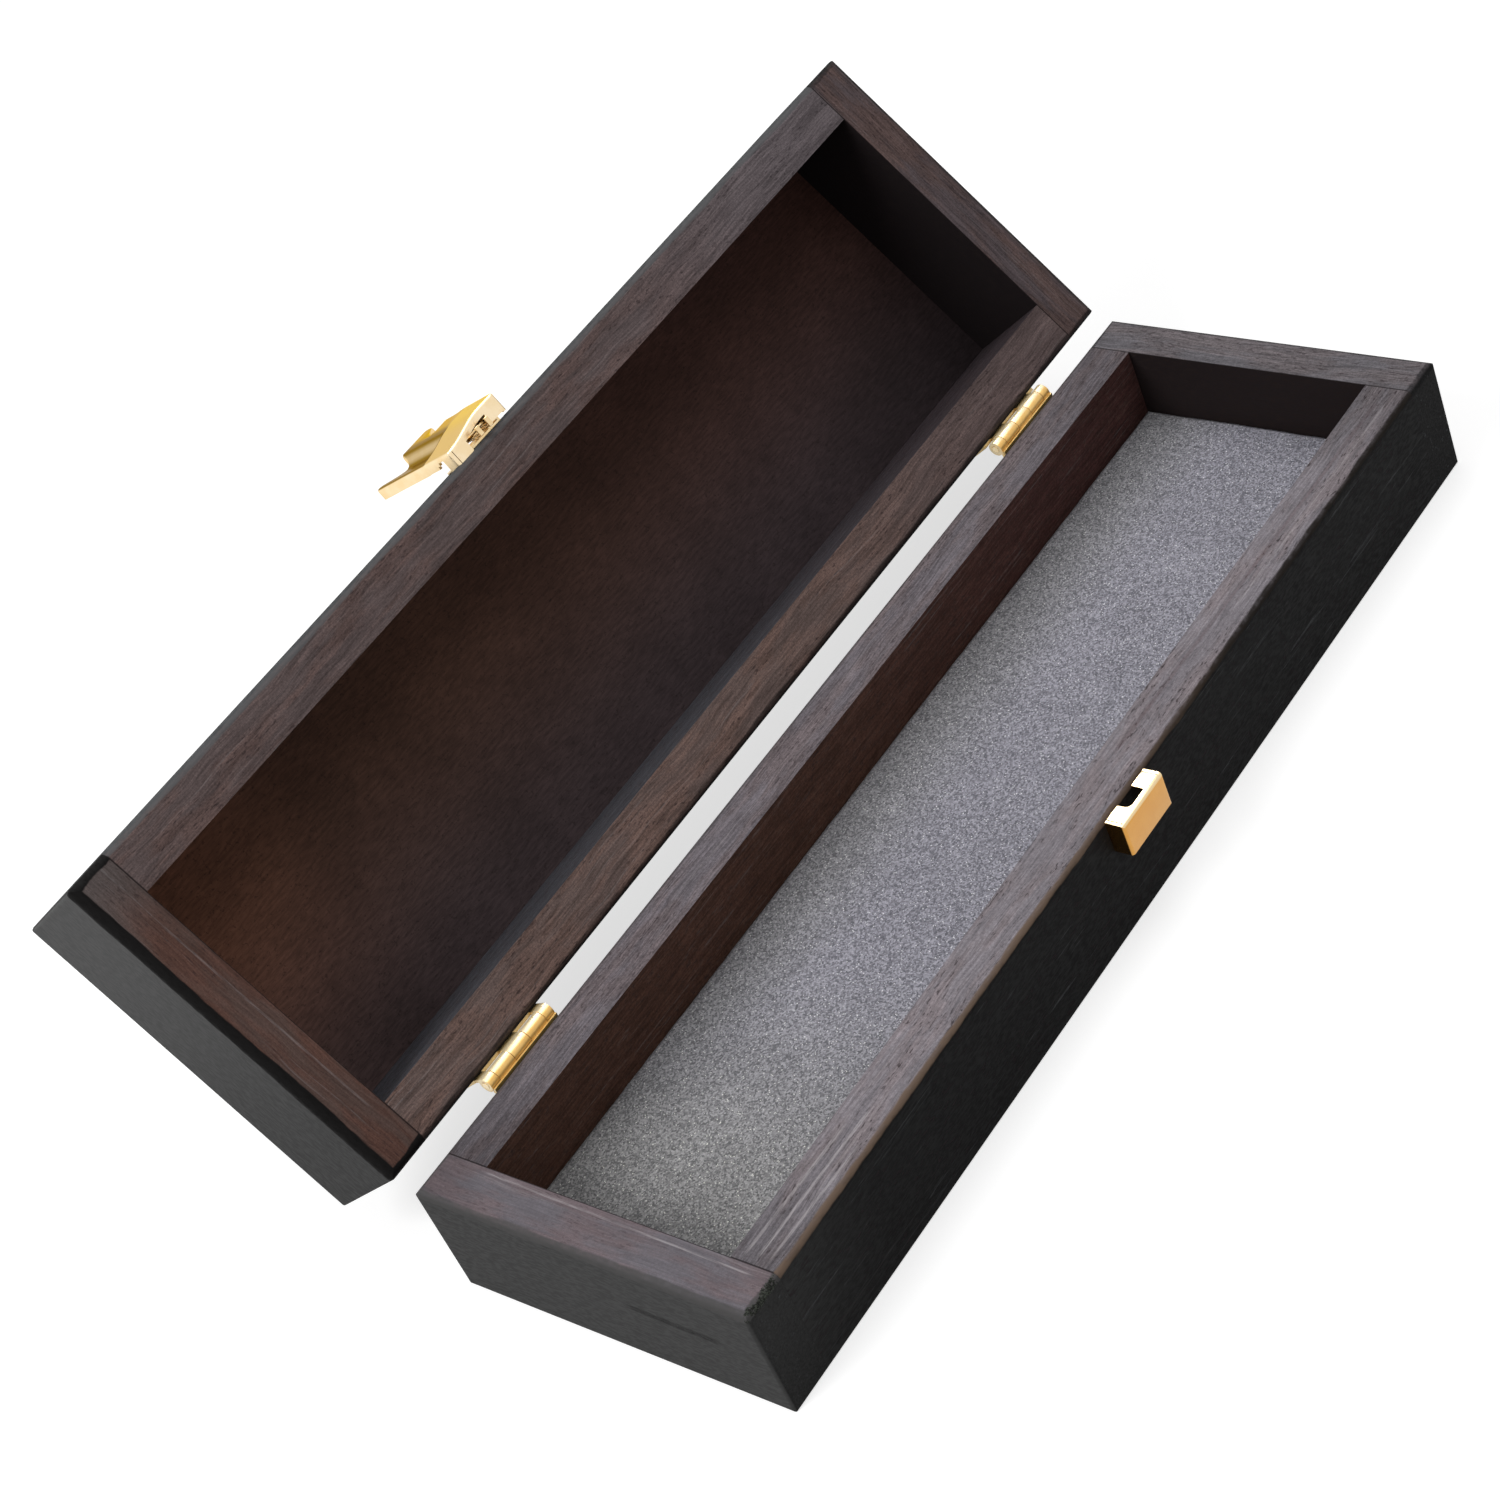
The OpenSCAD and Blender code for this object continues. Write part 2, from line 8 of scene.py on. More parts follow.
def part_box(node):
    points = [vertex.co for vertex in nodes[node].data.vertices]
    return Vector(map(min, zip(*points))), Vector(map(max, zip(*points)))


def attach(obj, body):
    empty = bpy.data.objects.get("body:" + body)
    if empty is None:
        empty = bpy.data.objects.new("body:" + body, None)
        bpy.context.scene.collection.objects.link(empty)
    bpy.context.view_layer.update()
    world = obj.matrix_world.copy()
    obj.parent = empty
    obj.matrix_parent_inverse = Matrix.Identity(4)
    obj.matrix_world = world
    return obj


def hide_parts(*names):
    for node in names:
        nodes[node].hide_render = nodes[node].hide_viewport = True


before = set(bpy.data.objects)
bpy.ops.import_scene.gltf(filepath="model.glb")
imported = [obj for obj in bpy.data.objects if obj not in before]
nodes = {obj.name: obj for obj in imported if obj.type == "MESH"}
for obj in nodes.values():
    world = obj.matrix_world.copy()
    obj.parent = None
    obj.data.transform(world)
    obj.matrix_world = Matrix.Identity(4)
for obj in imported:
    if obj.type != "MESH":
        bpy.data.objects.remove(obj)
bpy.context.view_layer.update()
mm = 1000  # millimetres in a metre

# The box's main sizes, in metres, as the CAD has them
box = {
    "halfLength": 0.115,
    "halfWidth": 0.0355,
    "halfInside": 0.106,
    "baseHeight": 0.0244,
    "lidRim": 0.0246,
    "openAngle": math.radians(127.6),
    "hinge": Vector((0, 0.0375, 0.0245)),
}


def turnAbout(point, angle):
    return Matrix.Translation(point) @ Matrix.Rotation(angle, 4, "X") @ Matrix.Translation(-point)


def arc(x, y, radius, degrees):
    turns = [math.radians(angle) for angle in degrees]
    return [(x + radius * math.cos(turn), y + radius * math.sin(turn)) for turn in turns]


toRest = turnAbout(box["hinge"], -box["openAngle"])


# Camera, light and floor

def addThing(name, data):
    thing = bpy.data.objects.new(name, data)
    bpy.context.collection.objects.link(thing)
    return thing


camera = {
    "place": (-0.2964, -0.3259, 0.4004),
    "forward": (0.4798, 0.6107, -0.6300),
    "up": (0.6844, 0.1888, 0.7042),
    "lens": 79.9,
    "sensor": 36,
    "nearest": 0.01,
}


def placeCamera(c):
    forward = Vector(c["forward"]).normalized()
    right = forward.cross(Vector(c["up"])).normalized()
    up = right.cross(forward)
    data = bpy.data.cameras.new("photoCamera")
    data.sensor_width = c["sensor"]
    data.lens = c["lens"]
    data.clip_start = c["nearest"]
    cam = addThing("photoCamera", data)
    turn = Matrix((right, up, -forward)).transposed().to_4x4()
    cam.matrix_world = Matrix.Translation(c["place"]) @ turn
    bpy.context.scene.camera = cam


placeCamera(camera)
bpy.context.scene.view_settings.view_transform = "Standard"
print("camera placed")

lights = {
    "key": {"place": (-0.75, 0.25, 0.75), "size": 0.55, "watts": 6.5},
    "overhead": {"place": (0.25, -0.1, 1.0), "size": 0.9, "watts": 4.0},
    "card": {"place": (0.62, 0.58, 0.81), "size": 0.40, "watts": 4.5, "shineOnly": True},
}
ambient = 0.36


def addLight(name, place, size, watts, shineOnly=False):
    data = bpy.data.lights.new(name, "AREA")
    data.shape = "DISK"
    data.size = size
    data.energy = watts
    lamp = addThing(name, data)
    facing = (-Vector(place)).to_track_quat("-Z", "Y").to_matrix().to_4x4()
    lamp.matrix_world = Matrix.Translation(place) @ facing
    lamp.visible_diffuse = not shineOnly  # the card only shows in gloss


for name, settings in lights.items():
    addLight(name + "Light", **settings)


def giveInputs(node, values):
    for key, value in values.items():
        if isinstance(value, bpy.types.NodeSocket):
            node.id_data.links.new(value, node.inputs[key])
        else:
            node.inputs[key].default_value = value


def addNode(tree, kind, values=None, **settings):
    node = tree.nodes.new(kind)
    for key, value in settings.items():
        setattr(node, key, value)
    giveInputs(node, values or {})
    return node


def nodeAfter(kind, values, **settings):
    # a node in the same tree as the first socket that it takes a value from
    sockets = [value for value in values.values() if isinstance(value, bpy.types.NodeSocket)]
    return addNode(sockets[0].id_data, kind, values, **settings)


def calculate(operation, a, b=0.0, c=0.0):
    return nodeAfter("ShaderNodeMath", {0: a, 1: b, 2: c}, operation=operation).outputs[0]


def times(a, b):
    return calculate("MULTIPLY", a, b)


def plus(a, b):
    return calculate("ADD", a, b)


def minus(a, b):
    return calculate("SUBTRACT", a, b)


def distance(a, b):
    return calculate("ABSOLUTE", minus(a, b))


def softStep(value, low, high, before=0.0, after=1.0):
    values = {"Value": value, "From Min": low, "From Max": high, "To Min": before, "To Max": after}
    return nodeAfter("ShaderNodeMapRange", values, interpolation_type="SMOOTHSTEP").outputs[0]


def between(share, before, after):
    return softStep(share, 0.0, 1.0, before, after)


def mixColour(share, a, b, mode="MIX"):
    a, b = [value if isinstance(value, bpy.types.NodeSocket) else (*value, 1) for value in (a, b)]
    values = {0: share, 6: a, 7: b}
    return nodeAfter("ShaderNodeMix", values, data_type="RGBA", blend_type=mode).outputs[2]


def seenItself(tree):
    # 1 where the thing itself is seen, also in a gloss or through glass, and 0 where it only sends light
    rays = addNode(tree, "ShaderNodeLightPath")
    seen = calculate("MAXIMUM", rays.outputs["Is Camera Ray"], rays.outputs["Is Glossy Ray"])
    return calculate("MAXIMUM", seen, rays.outputs["Is Transmission Ray"])


def makeWorld(strength):
    world = bpy.data.worlds.new("studio")
    bpy.context.scene.world = world
    world.use_nodes = True
    tree = world.node_tree
    tree.nodes.clear()
    brightness = calculate("MULTIPLY_ADD", seenItself(tree), 1 - strength, strength)
    glow = addNode(tree, "ShaderNodeBackground", {"Color": (1, 1, 1, 1), "Strength": brightness})
    addNode(tree, "ShaderNodeOutputWorld", {0: glow.outputs[0]})


makeWorld(ambient)

floor = {"size": 3.0, "colour": (0.52, 0.52, 0.52), "glow": 0.66, "fade": (0.5, 1.3)}


def makeFloor(f):
    mesh = bpy.data.meshes.new("floor")
    s = f["size"]
    mesh.from_pydata([(-s, -s, 0), (s, -s, 0), (s, s, 0), (-s, s, 0)], [], [(0, 1, 2, 3)])
    thing = addThing("floor", mesh)
    material = bpy.data.materials.new("paleFloor")
    material.use_nodes = True
    tree = material.node_tree
    tree.nodes.clear()
    matt = addNode(tree, "ShaderNodeBsdfDiffuse", {"Color": (*f["colour"], 1)})
    # far from the box, where the lights fall off, the floor is white by itself
    place = addNode(tree, "ShaderNodeTexCoord").outputs["Object"]
    away = nodeAfter("ShaderNodeVectorMath", {0: place}, operation="LENGTH").outputs["Value"]
    glow = times(seenItself(tree), softStep(away, *f["fade"], f["glow"], 1.0))
    white = addNode(tree, "ShaderNodeEmission", {"Color": (1, 1, 1, 1), "Strength": glow})
    both = addNode(tree, "ShaderNodeAddShader", {0: matt.outputs[0], 1: white.outputs[0]})
    addNode(tree, "ShaderNodeOutputMaterial", {0: both.outputs[0]})
    mesh.materials.append(material)


makeFloor(floor)
print("lights and floor set")


# Wood

def startMaterial(name):
    material = bpy.data.materials.new(name)
    material.use_nodes = True
    tree = material.node_tree
    return material, tree, tree.nodes["Principled BSDF"]


def inMillimetres(tree):
    # a Mapping node that gives object coordinates in millimetres, and the normal
    place = addNode(tree, "ShaderNodeTexCoord").outputs
    spot = addNode(tree, "ShaderNodeMapping", {"Vector": place["Object"], "Scale": (mm, mm, mm)})
    return spot, place["Normal"]


def shutCoordinates(tree, lid):
    # the same, turned back to the shut box for a piece of the lid
    spot, facing = inMillimetres(tree)
    if lid:
        back = Matrix.Rotation(box["openAngle"], 3, "X")
        moved = (box["hinge"] - back @ box["hinge"]) * mm
        giveInputs(spot, {"Rotation": (box["openAngle"], 0, 0), "Location": moved})
        turn = {"Vector": facing, "Angle": box["openAngle"]}
        facing = nodeAfter("ShaderNodeVectorRotate", turn, rotation_type="X_AXIS").outputs[0]
    return spot.outputs[0], facing


def split(vector):
    return nodeAfter("ShaderNodeSeparateXYZ", {0: vector}).outputs


def noiseAt(vector, detail=3.0, roughness=0.6, scale=1.0):
    values = {"Vector": vector, "Scale": scale, "Detail": detail, "Roughness": roughness}
    return nodeAfter("ShaderNodeTexNoise", values).outputs["Fac"]


def grainNoise(point, g, shift):
    # noise in the grain's own space: slow along the fibres, quick across them
    along, across = g["rates"]
    rates = (along, across, across)
    moved = shift + g.get("shift", 0.0)
    values = [calculate("MULTIPLY_ADD", v, rate, moved) for v, rate in zip(point, rates)]
    vector = nodeAfter("ShaderNodeCombineXYZ", dict(enumerate(values))).outputs[0]
    return noiseAt(vector, g["detail"], g.get("roughness", 0.6))


def tinted(colour, factor):
    grey = nodeAfter("ShaderNodeCombineColor", {0: factor, 1: factor, 2: factor}).outputs[0]
    return mixColour(1.0, colour, grey, "MULTIPLY")


stain = {
    "outside": (0.0062, 0.0062, 0.0064),
    "nearOutside": (0.024, 0.024, 0.024),
    "scratch": (0.046, 0.047, 0.050),
    "insideBase": (0.092, 0.046, 0.033),
    "insideBaseFar": (0.076, 0.034, 0.031),
    "insideLid": (0.050, 0.050, 0.058),
    "insideLidFar": (0.036, 0.028, 0.032),
    "insideDash": (0.150, 0.098, 0.080),
    "pore": (0.022, 0.016, 0.018),
    "streak": (0.34, 0.31, 0.31),
    "bright": (0.46, 0.43, 0.44),
    "vein": (0.085, 0.052, 0.056),
    "edgeMark": (0.150, 0.104, 0.076),
    "darkEdge": (0.014, 0.011, 0.009),
    "chip": (0.009, 0.010, 0.008),
    "chipPale": (0.060, 0.068, 0.055),
    "seam": (0.008, 0.006, 0.006),
}

# Rates are per millimetre, along the fibres and across them
grains = {
    "wander": {"rates": (0.03, 0.04), "detail": 2},
    "fibre": {"rates": (0.13, 2.3), "detail": 4, "roughness": 0.72},
    "band": {"rates": (0.025, 0.42), "shift": 3.1, "detail": 3},
    "patch": {"rates": (0.07, 0.22), "shift": 5.3, "detail": 4},
    "dash": {"rates": (0.72, 2.5), "shift": 7.7, "detail": 2, "roughness": 0.5},
    "line": {"rates": (0.02, 1.5), "shift": 9.2, "detail": 2},
    "drawn": {"rates": (0.014, 0.9), "shift": 1.7, "detail": 5, "roughness": 0.78},
}

# Soft steps: where each starts and ends, then what it gives before and after
steps = {
    "onRim": (0.55, 0.9),
    "onOutside": (0.5, 1.3, 1.0, 0.0),
    "toNear": (0.45, 0.8),
    "nearGrey": (-113, -80),
    "lowDark": (1, 21, 0.72, 1.22),
    "scratch": (0.58, 0.70),
    "nearFace": (-32, 30),
    "smudge": (0.3, 0.6, 0.3, 0.7),
    "towardsFar": (-20, 90),
    "insideDash": (0.51, 0.64),
    "rimTone": (0.42, 0.58),
    "farAlong": (10, 95),
    "farAcross": (-34, -18, 1.0, 0.0),
    "pore": (0.57, 0.69),
    "porePatch": (0.38, 0.60, 0.15, 1.0),
    "line": (0.60, 0.72),
    "lineDash": (0.35, 0.55, 0.2, 1.0),
    "steep": (0.5, 0.9, 1.0, 0.0),
    "rimLine": (0.5, 0.9, 0.0, 0.2),
    "fibre": (0.28, 0.74, 0.62, 1.38),
    "band": (0.3, 0.7, 0.86, 1.14),
    "speck": (0.3, 0.7, 0.74, 1.26),
    "ragged": (0.3, 0.7, -0.2, 0.2),
    "flakes": (0.3, 0.7, -0.6, 0.6),
    "chipEdge": (0.8, 1.0, 0.92, 0.0),
    "chipDepth": (0.9, 1.6, 1.0, 0.0),
    "chipPale": (0.45, 0.62),
    "seam": (0.06, 0.22, 0.85, 0.0),
    "rough": (0.35, 0.7, 0.58, 0.82),
}

wood = {
    "wander": 4.0,  # millimetres
    "speck": {"detail": 3, "scale": 2.6, "roughness": 0.8},
    "blotch": (0.65, 0.35),  # shares of patch and band in the rim's two tones
    "dashOnWall": {"Lid": 0.16, "Base": 0.3},
    "lineOnWall": {"Lid": 0.06, "Base": 0.19},
    "lineOutside": 0.03,
    "grainNear": 0.11,
    "grainOutside": 0.31,
    "seamOutside": 0.2,
    "endsAlong": ((-113, -70), (75, 104)),
    "endsAcross": ((-36, -20), (20, 36)),
    "markEnd": 1.5,
    "markSoft": (0.5, 1.4),
    "lineBroken": (0.36, 0.6),
    "lineLeast": 0.25,
    "edgeSoft": 0.2,
    "edgeCloud": {"detail": 4, "scale": 0.35},
    "edgeStep": (0.35, 0.6),
    "edgeLeast": 0.75,
    "gloss": 0.06,
    "poreDepth": 0.8,
}


def drawnLine(along, across, start, end, halfWidth, patchy):
    # a thin straight mark between two spots (along, across), broken where patchy is low
    slope = (end[1] - start[1]) / (end[0] - start[0])
    middle = plus(times(minus(along, start[0]), slope), start[1])
    inner, outer = [halfWidth * share for share in wood["markSoft"]]
    on = softStep(distance(across, middle), inner, outer, 1.0, 0.0)
    low, high = sorted((start[0], end[0]))
    soft = wood["markEnd"]
    on = times(on, softStep(along, low - soft, low + soft))
    on = times(on, softStep(along, high - soft, high + soft, 1.0, 0.0))
    return times(on, patchy)


def stepped(value, kind):
    return softStep(value, *steps[kind])


def railPoint(tree, r):
    # where a point lies in the shut box, how far inside its outer faces and its rim, which way it faces
    # and the grain there
    spot, facing = shutCoordinates(tree, r["lid"])
    x, y, z = split(spot)
    normal = split(facing)
    fromEnd = minus(box["halfLength"] * mm, calculate("ABSOLUTE", x))
    fromSide = minus(box["halfWidth"] * mm, calculate("ABSOLUTE", y))
    fromOut = calculate("MINIMUM", fromEnd, fromSide)
    fromRim = minus(box["baseHeight"] * mm, z)
    upward = normal[2]
    if r["lid"]:
        fromRim = minus(z, box["lidRim"] * mm)
        upward = times(upward, -1.0)
    along, side = (y, x) if r["across"] else (x, y)
    at = {
        "spot": spot, "x": x, "y": y, "z": z, "along": along, "side": side, "fromOut": fromOut,
        "fromRim": fromRim, "upward": upward, "onRim": stepped(upward, "onRim"),
        "onOutside": stepped(fromOut, "onOutside"),
        "toNear": stepped(times(normal[0], -1.0), "toNear"),
        "speck": noiseAt(spot, **wood["speck"]),
    }
    # the fibres wander a little from side to side
    wander = grainNoise((along, side, z), grains["wander"], r["shift"])
    side = plus(side, times(wander, wood["wander"]))
    for kind in ("fibre", "band", "patch", "dash", "line", "drawn"):
        at[kind] = grainNoise((along, side, z), grains[kind], r["shift"])
    return at


def outerFaces(r, at):
    # black, a little greyer towards the near end; the near end's own face is painted a lighter grey, with a
    # gradient across it, as painted light
    dark = mixColour(stepped(at["x"], "nearGrey"), stain["nearOutside"], stain["outside"])
    if not r["lid"]:
        dark = tinted(dark, stepped(at["z"], "lowDark"))
    dark = mixColour(stepped(at["drawn"], "scratch"), dark, stain["scratch"])
    # the near end face's greys are painted light from the key lamp, not a different stain
    front, back = [(grey, grey, grey) for grey in r["face"]]
    litNearFace = mixColour(stepped(at["y"], "nearFace"), front, back)
    if r["smudge"]:
        mark = drawnLine(at["y"], at["z"], *r["smudge"], stepped(at["speck"], "smudge"))
        litNearFace = mixColour(mark, litNearFace, stain["outside"])
    return mixColour(at["toNear"], dark, litNearFace)


def innerWall(r, at):
    half = "Lid" if r["lid"] else "Base"
    farTone = r["wall"] or stain["inside" + half + "Far"]
    inside = mixColour(stepped(at["x"], "towardsFar"), stain["inside" + half], farTone)
    share = times(stepped(at["dash"], "insideDash"), wood["dashOnWall"][half])
    return mixColour(share, inside, stain["insideDash"])


def rimStain(r, at):
    # two tones in blotches, a third one towards one end, and darker ends
    patchShare, bandShare = wood["blotch"]
    blotch = plus(times(at["patch"], patchShare), times(at["band"], bandShare))
    rim = mixColour(stepped(blotch, "rimTone"), r["rim"], r["warm"])
    if r["far"]:
        towards = stepped(at["along"], "farAcross" if r["across"] else "farAlong")
        rim = mixColour(towards, rim, r["far"])
    first, last = wood["endsAcross" if r["across"] else "endsAlong"]
    fade = softStep(at["along"], *first, r["ends"][0], 1.0)
    fade = times(fade, softStep(at["along"], *last, 1.0, r["ends"][1]))
    return tinted(rim, fade)


def wornAndShadedEdge(r, at, colour):
    # the rounded outer edge of the rim, rubbed through or stained darker on most rails, and on the lid's
    # near end painted black as painted shade on the chamfer
    nearEdge = calculate("MAXIMUM", at["fromOut"], at["fromRim"])
    ragged = plus(nearEdge, stepped(at["patch"], "ragged"))
    onEdge = softStep(ragged, r["reach"] - wood["edgeSoft"], r["reach"] + wood["edgeSoft"], 1.0, 0.0)
    cloud = noiseAt(at["spot"], **wood["edgeCloud"])
    edgeMark = softStep(cloud, *wood["edgeStep"], r["wearAndShade"] * wood["edgeLeast"], r["wearAndShade"])
    tone = r["edge"]
    if r["rubbed"]:  # bare wood towards the near end, still dark towards the far one
        tone = mixColour(softStep(at["x"], *r["rubbed"]), r["edge"], stain["darkEdge"])
    return mixColour(times(onEdge, edgeMark), colour, tone)


def splintered(r, at, colour):
    # a splintered edge by the corner, its stain lost in flakes
    (cx, cy), (rx, ry) = r["chip"]
    offX = calculate("DIVIDE", distance(at["x"], cx), rx)
    offY = calculate("DIVIDE", distance(at["y"], cy), ry)
    flakes = stepped(noiseAt(at["spot"], roughness=0.7), "flakes")
    flaky = plus(calculate("MAXIMUM", offX, offY), flakes)
    here = times(stepped(flaky, "chipEdge"), stepped(at["fromRim"], "chipDepth"))
    tone = mixColour(stepped(at["speck"], "chipPale"), stain["chip"], stain["chipPale"])
    return mixColour(here, colour, tone)


def bumped(height, strength=0.4, depth=0.0001):
    values = {"Height": height, "Strength": strength, "Distance": depth}
    return nodeAfter("ShaderNodeBump", values).outputs[0]


def dullSurface(shader, colour, roughness, gloss, normal):
    giveInputs(shader, {"Base Color": colour, "Roughness": roughness})
    giveInputs(shader, {"Specular IOR Level": gloss, "Normal": normal})


def stainedWood(name, r):
    material, tree, shader = startMaterial(name)
    at = railPoint(tree, r)
    onOutside = at["onOutside"]
    colour = mixColour(onOutside, innerWall(r, at), outerFaces(r, at))
    colour = mixColour(at["onRim"], colour, rimStain(r, at))

    # light and dark fibres
    shade = times(stepped(at["fibre"], "fibre"), stepped(at["band"], "band"))
    shade = times(shade, stepped(at["speck"], "speck"))
    strength = between(onOutside, r["grain"], wood["grainOutside"])
    strength = times(between(at["toNear"], 1.0, wood["grainNear"]), strength)
    strength = calculate("MAXIMUM", strength, times(at["onRim"], r["grain"]))
    shade = plus(times(minus(shade, 1.0), strength), 1.0)
    colour = tinted(colour, shade)

    # pores and pale lines, none on the near end's face
    notNear = between(at["toNear"], 1.0, 0.0)
    pore = times(stepped(at["dash"], "pore"), stepped(at["patch"], "porePatch"))
    pore = times(pore, notNear)
    colour = mixColour(times(pore, r["pores"]), colour, stain["pore"])
    line = times(stepped(at["line"], "line"), stepped(at["dash"], "lineDash"))
    line = times(line, notNear)
    shown = between(onOutside, wood["lineOnWall"]["Lid" if r["lid"] else "Base"], wood["lineOutside"])
    shown = times(shown, stepped(at["upward"], "steep"))
    shown = plus(shown, stepped(at["upward"], "rimLine"))
    colour = mixColour(times(line, shown), colour, stain["streak"])
    for start, end, halfWidth, share, tone in r["lines"]:
        broken = softStep(at["fibre"], *wood["lineBroken"], share * wood["lineLeast"], share)
        mark = drawnLine(at["along"], at["side"], start, end, halfWidth, broken)
        colour = mixColour(times(mark, at["onRim"]), colour, tone)

    colour = wornAndShadedEdge(r, at, colour)
    if r["chip"]:
        colour = splintered(r, at, colour)

    # the glue line between an end rail and a long rail
    gap = distance(calculate("ABSOLUTE", at["x"]), box["halfInside"] * mm)
    seam = times(stepped(gap, "seam"), between(onOutside, 1.0, wood["seamOutside"]))
    colour = mixColour(seam, colour, stain["seam"])

    height = minus(times(at["fibre"], strength), times(pore, wood["poreDepth"]))
    dullSurface(shader, colour, stepped(at["dash"], "rough"), wood["gloss"], bumped(height))
    return material


# What a rail has unless its own lines below say otherwise
plainRail = {
    "pores": 0.6, "grain": 1.0, "ends": (1.0, 1.0), "reach": 1.2, "rubbed": None, "far": None, "wall": None,
    "face": (0.043, 0.043), "lines": (), "smudge": None, "chip": None,
}

# A line or a smudge is a start, an end and half a width in millimetres; a line has its share and tone too
rails = {
    "base_front_rail": {
        "rim": (0.206, 0.188, 0.207), "warm": (0.190, 0.163, 0.174), "shift": 11.0, "ends": (0.55, 0.6),
        "pores": 0.8, "grain": 0.85, "edge": stain["edgeMark"], "wearAndShade": 0.95, "reach": 0.9, "rubbed": (-25, 45),
        "lines": (
            ((-104, -28.0), (-78, -29.0), 0.30, 0.45, stain["bright"]),
            ((-104, -30.4), (-74, -31.2), 0.28, 0.50, stain["bright"]),
            ((-104, -32.6), (-80, -33.6), 0.26, 0.42, stain["bright"]),
            ((8, -28.9), (101, -30.4), 0.42, 0.45, stain["vein"]),
            ((46, -31.6), (101, -32.3), 0.25, 0.22, stain["bright"]),
        ),
    },
    "base_back_rail": {
        "rim": (0.142, 0.126, 0.140), "warm": (0.132, 0.108, 0.114), "shift": 23.0, "ends": (0.55, 0.8),
        "edge": (0.050, 0.046, 0.046), "wearAndShade": 0.6,
    },
    "base_near_end": {
        "rim": (0.132, 0.121, 0.136), "warm": (0.139, 0.110, 0.119), "shift": 37.0, "ends": (1.0, 0.75),
        "pores": 0.3, "grain": 0.42, "edge": (0.066, 0.064, 0.064), "wearAndShade": 0.9, "face": (0.048, 0.045),
        "lines": (((-31, -107.7), (25, -107.0), 0.18, 0.4, stain["bright"]),),
        "smudge": ((-25.5, 13.5), (-7.0, 13.9), 0.7),
        "chip": ((-110.4, -35.5), (4.2, 0.85)),
    },
    "base_far_end": {
        "rim": (0.130, 0.122, 0.134), "warm": (0.122, 0.106, 0.112), "shift": 41.0,
        "edge": stain["outside"], "wearAndShade": 0.7, "wall": (0.070, 0.050, 0.052),
    },
    "lid_front_rail": {
        "rim": (0.107, 0.080, 0.078), "warm": (0.110, 0.073, 0.067), "far": (0.112, 0.094, 0.100),
        "shift": 53.0, "edge": (0.085, 0.088, 0.092), "wearAndShade": 0.8,
    },
    "lid_back_rail": {
        "rim": (0.132, 0.094, 0.085), "warm": (0.146, 0.094, 0.080), "far": (0.110, 0.080, 0.078),
        "shift": 67.0, "edge": stain["outside"], "wearAndShade": 0.7,
    },
    "lid_near_end": {
        "rim": (0.088, 0.056, 0.048), "warm": (0.091, 0.047, 0.037), "far": (0.092, 0.074, 0.071),
        "shift": 71.0, "pores": 0.4, "grain": 0.7, "face": (0.073, 0.043),
        # the near end's black edge is painted shade on the chamfer between the rim and the end face
        "edge": (0.006, 0.0055, 0.0055), "wearAndShade": 1.35, "reach": 1.6,
        # this pale line is a painted highlight where the rim's inner part rounds down
        "lines": (((-20, -108.6), (24, -108.2), 0.2, 0.16, stain["bright"]),),
    },
    "lid_far_end": {
        "rim": (0.084, 0.066, 0.070), "warm": (0.092, 0.062, 0.058), "shift": 83.0,
        "edge": stain["outside"], "wearAndShade": 0.7,
    },
}


def dress(thing, material):
    thing.data.materials.clear()
    thing.data.materials.append(material)


for name, settings in rails.items():
    kind = {"lid": name.startswith("lid"), "across": name.endswith("end")}
    dress(nodes[name], stainedWood(name + "Wood", {**plainRail, **kind, **settings}))

panels = {
    "near": (0.175, 0.074, 0.044),
    "middle": (0.072, 0.035, 0.0235),
    "far": (0.054, 0.025, 0.020),
    "outside": (0.016, 0.0155, 0.0155),
    "speck": (0.010, 0.006, 0.005),
    "cool": (0.034, 0.027, 0.031),
    "roughness": 0.66,
    "gloss": 0.08,
    "grain": {"rates": (0.3, 1.8), "detail": 5, "roughness": 0.7},
    "grainShift": 5.0,
    "toMiddle": (-110, -58),
    "toFar": (-45, 75),
    "toBack": (-20, 26, 0.0, 0.85),
    "outward": (0.2, 0.6),
    "grainShade": (0.3, 0.72, 0.7, 1.3),
    "mottleShade": (0.3, 0.7, 0.85, 1.15),
    "paintedFrontLight": (-26, -14, 1.3, 1.0),
    "cornerAlong": (45, 95),
    "cornerAcross": (-12, 14),
    "paintedCornerShade": 0.62,
    "speckHere": (0.58, 0.72, 0.0, 0.5),
}


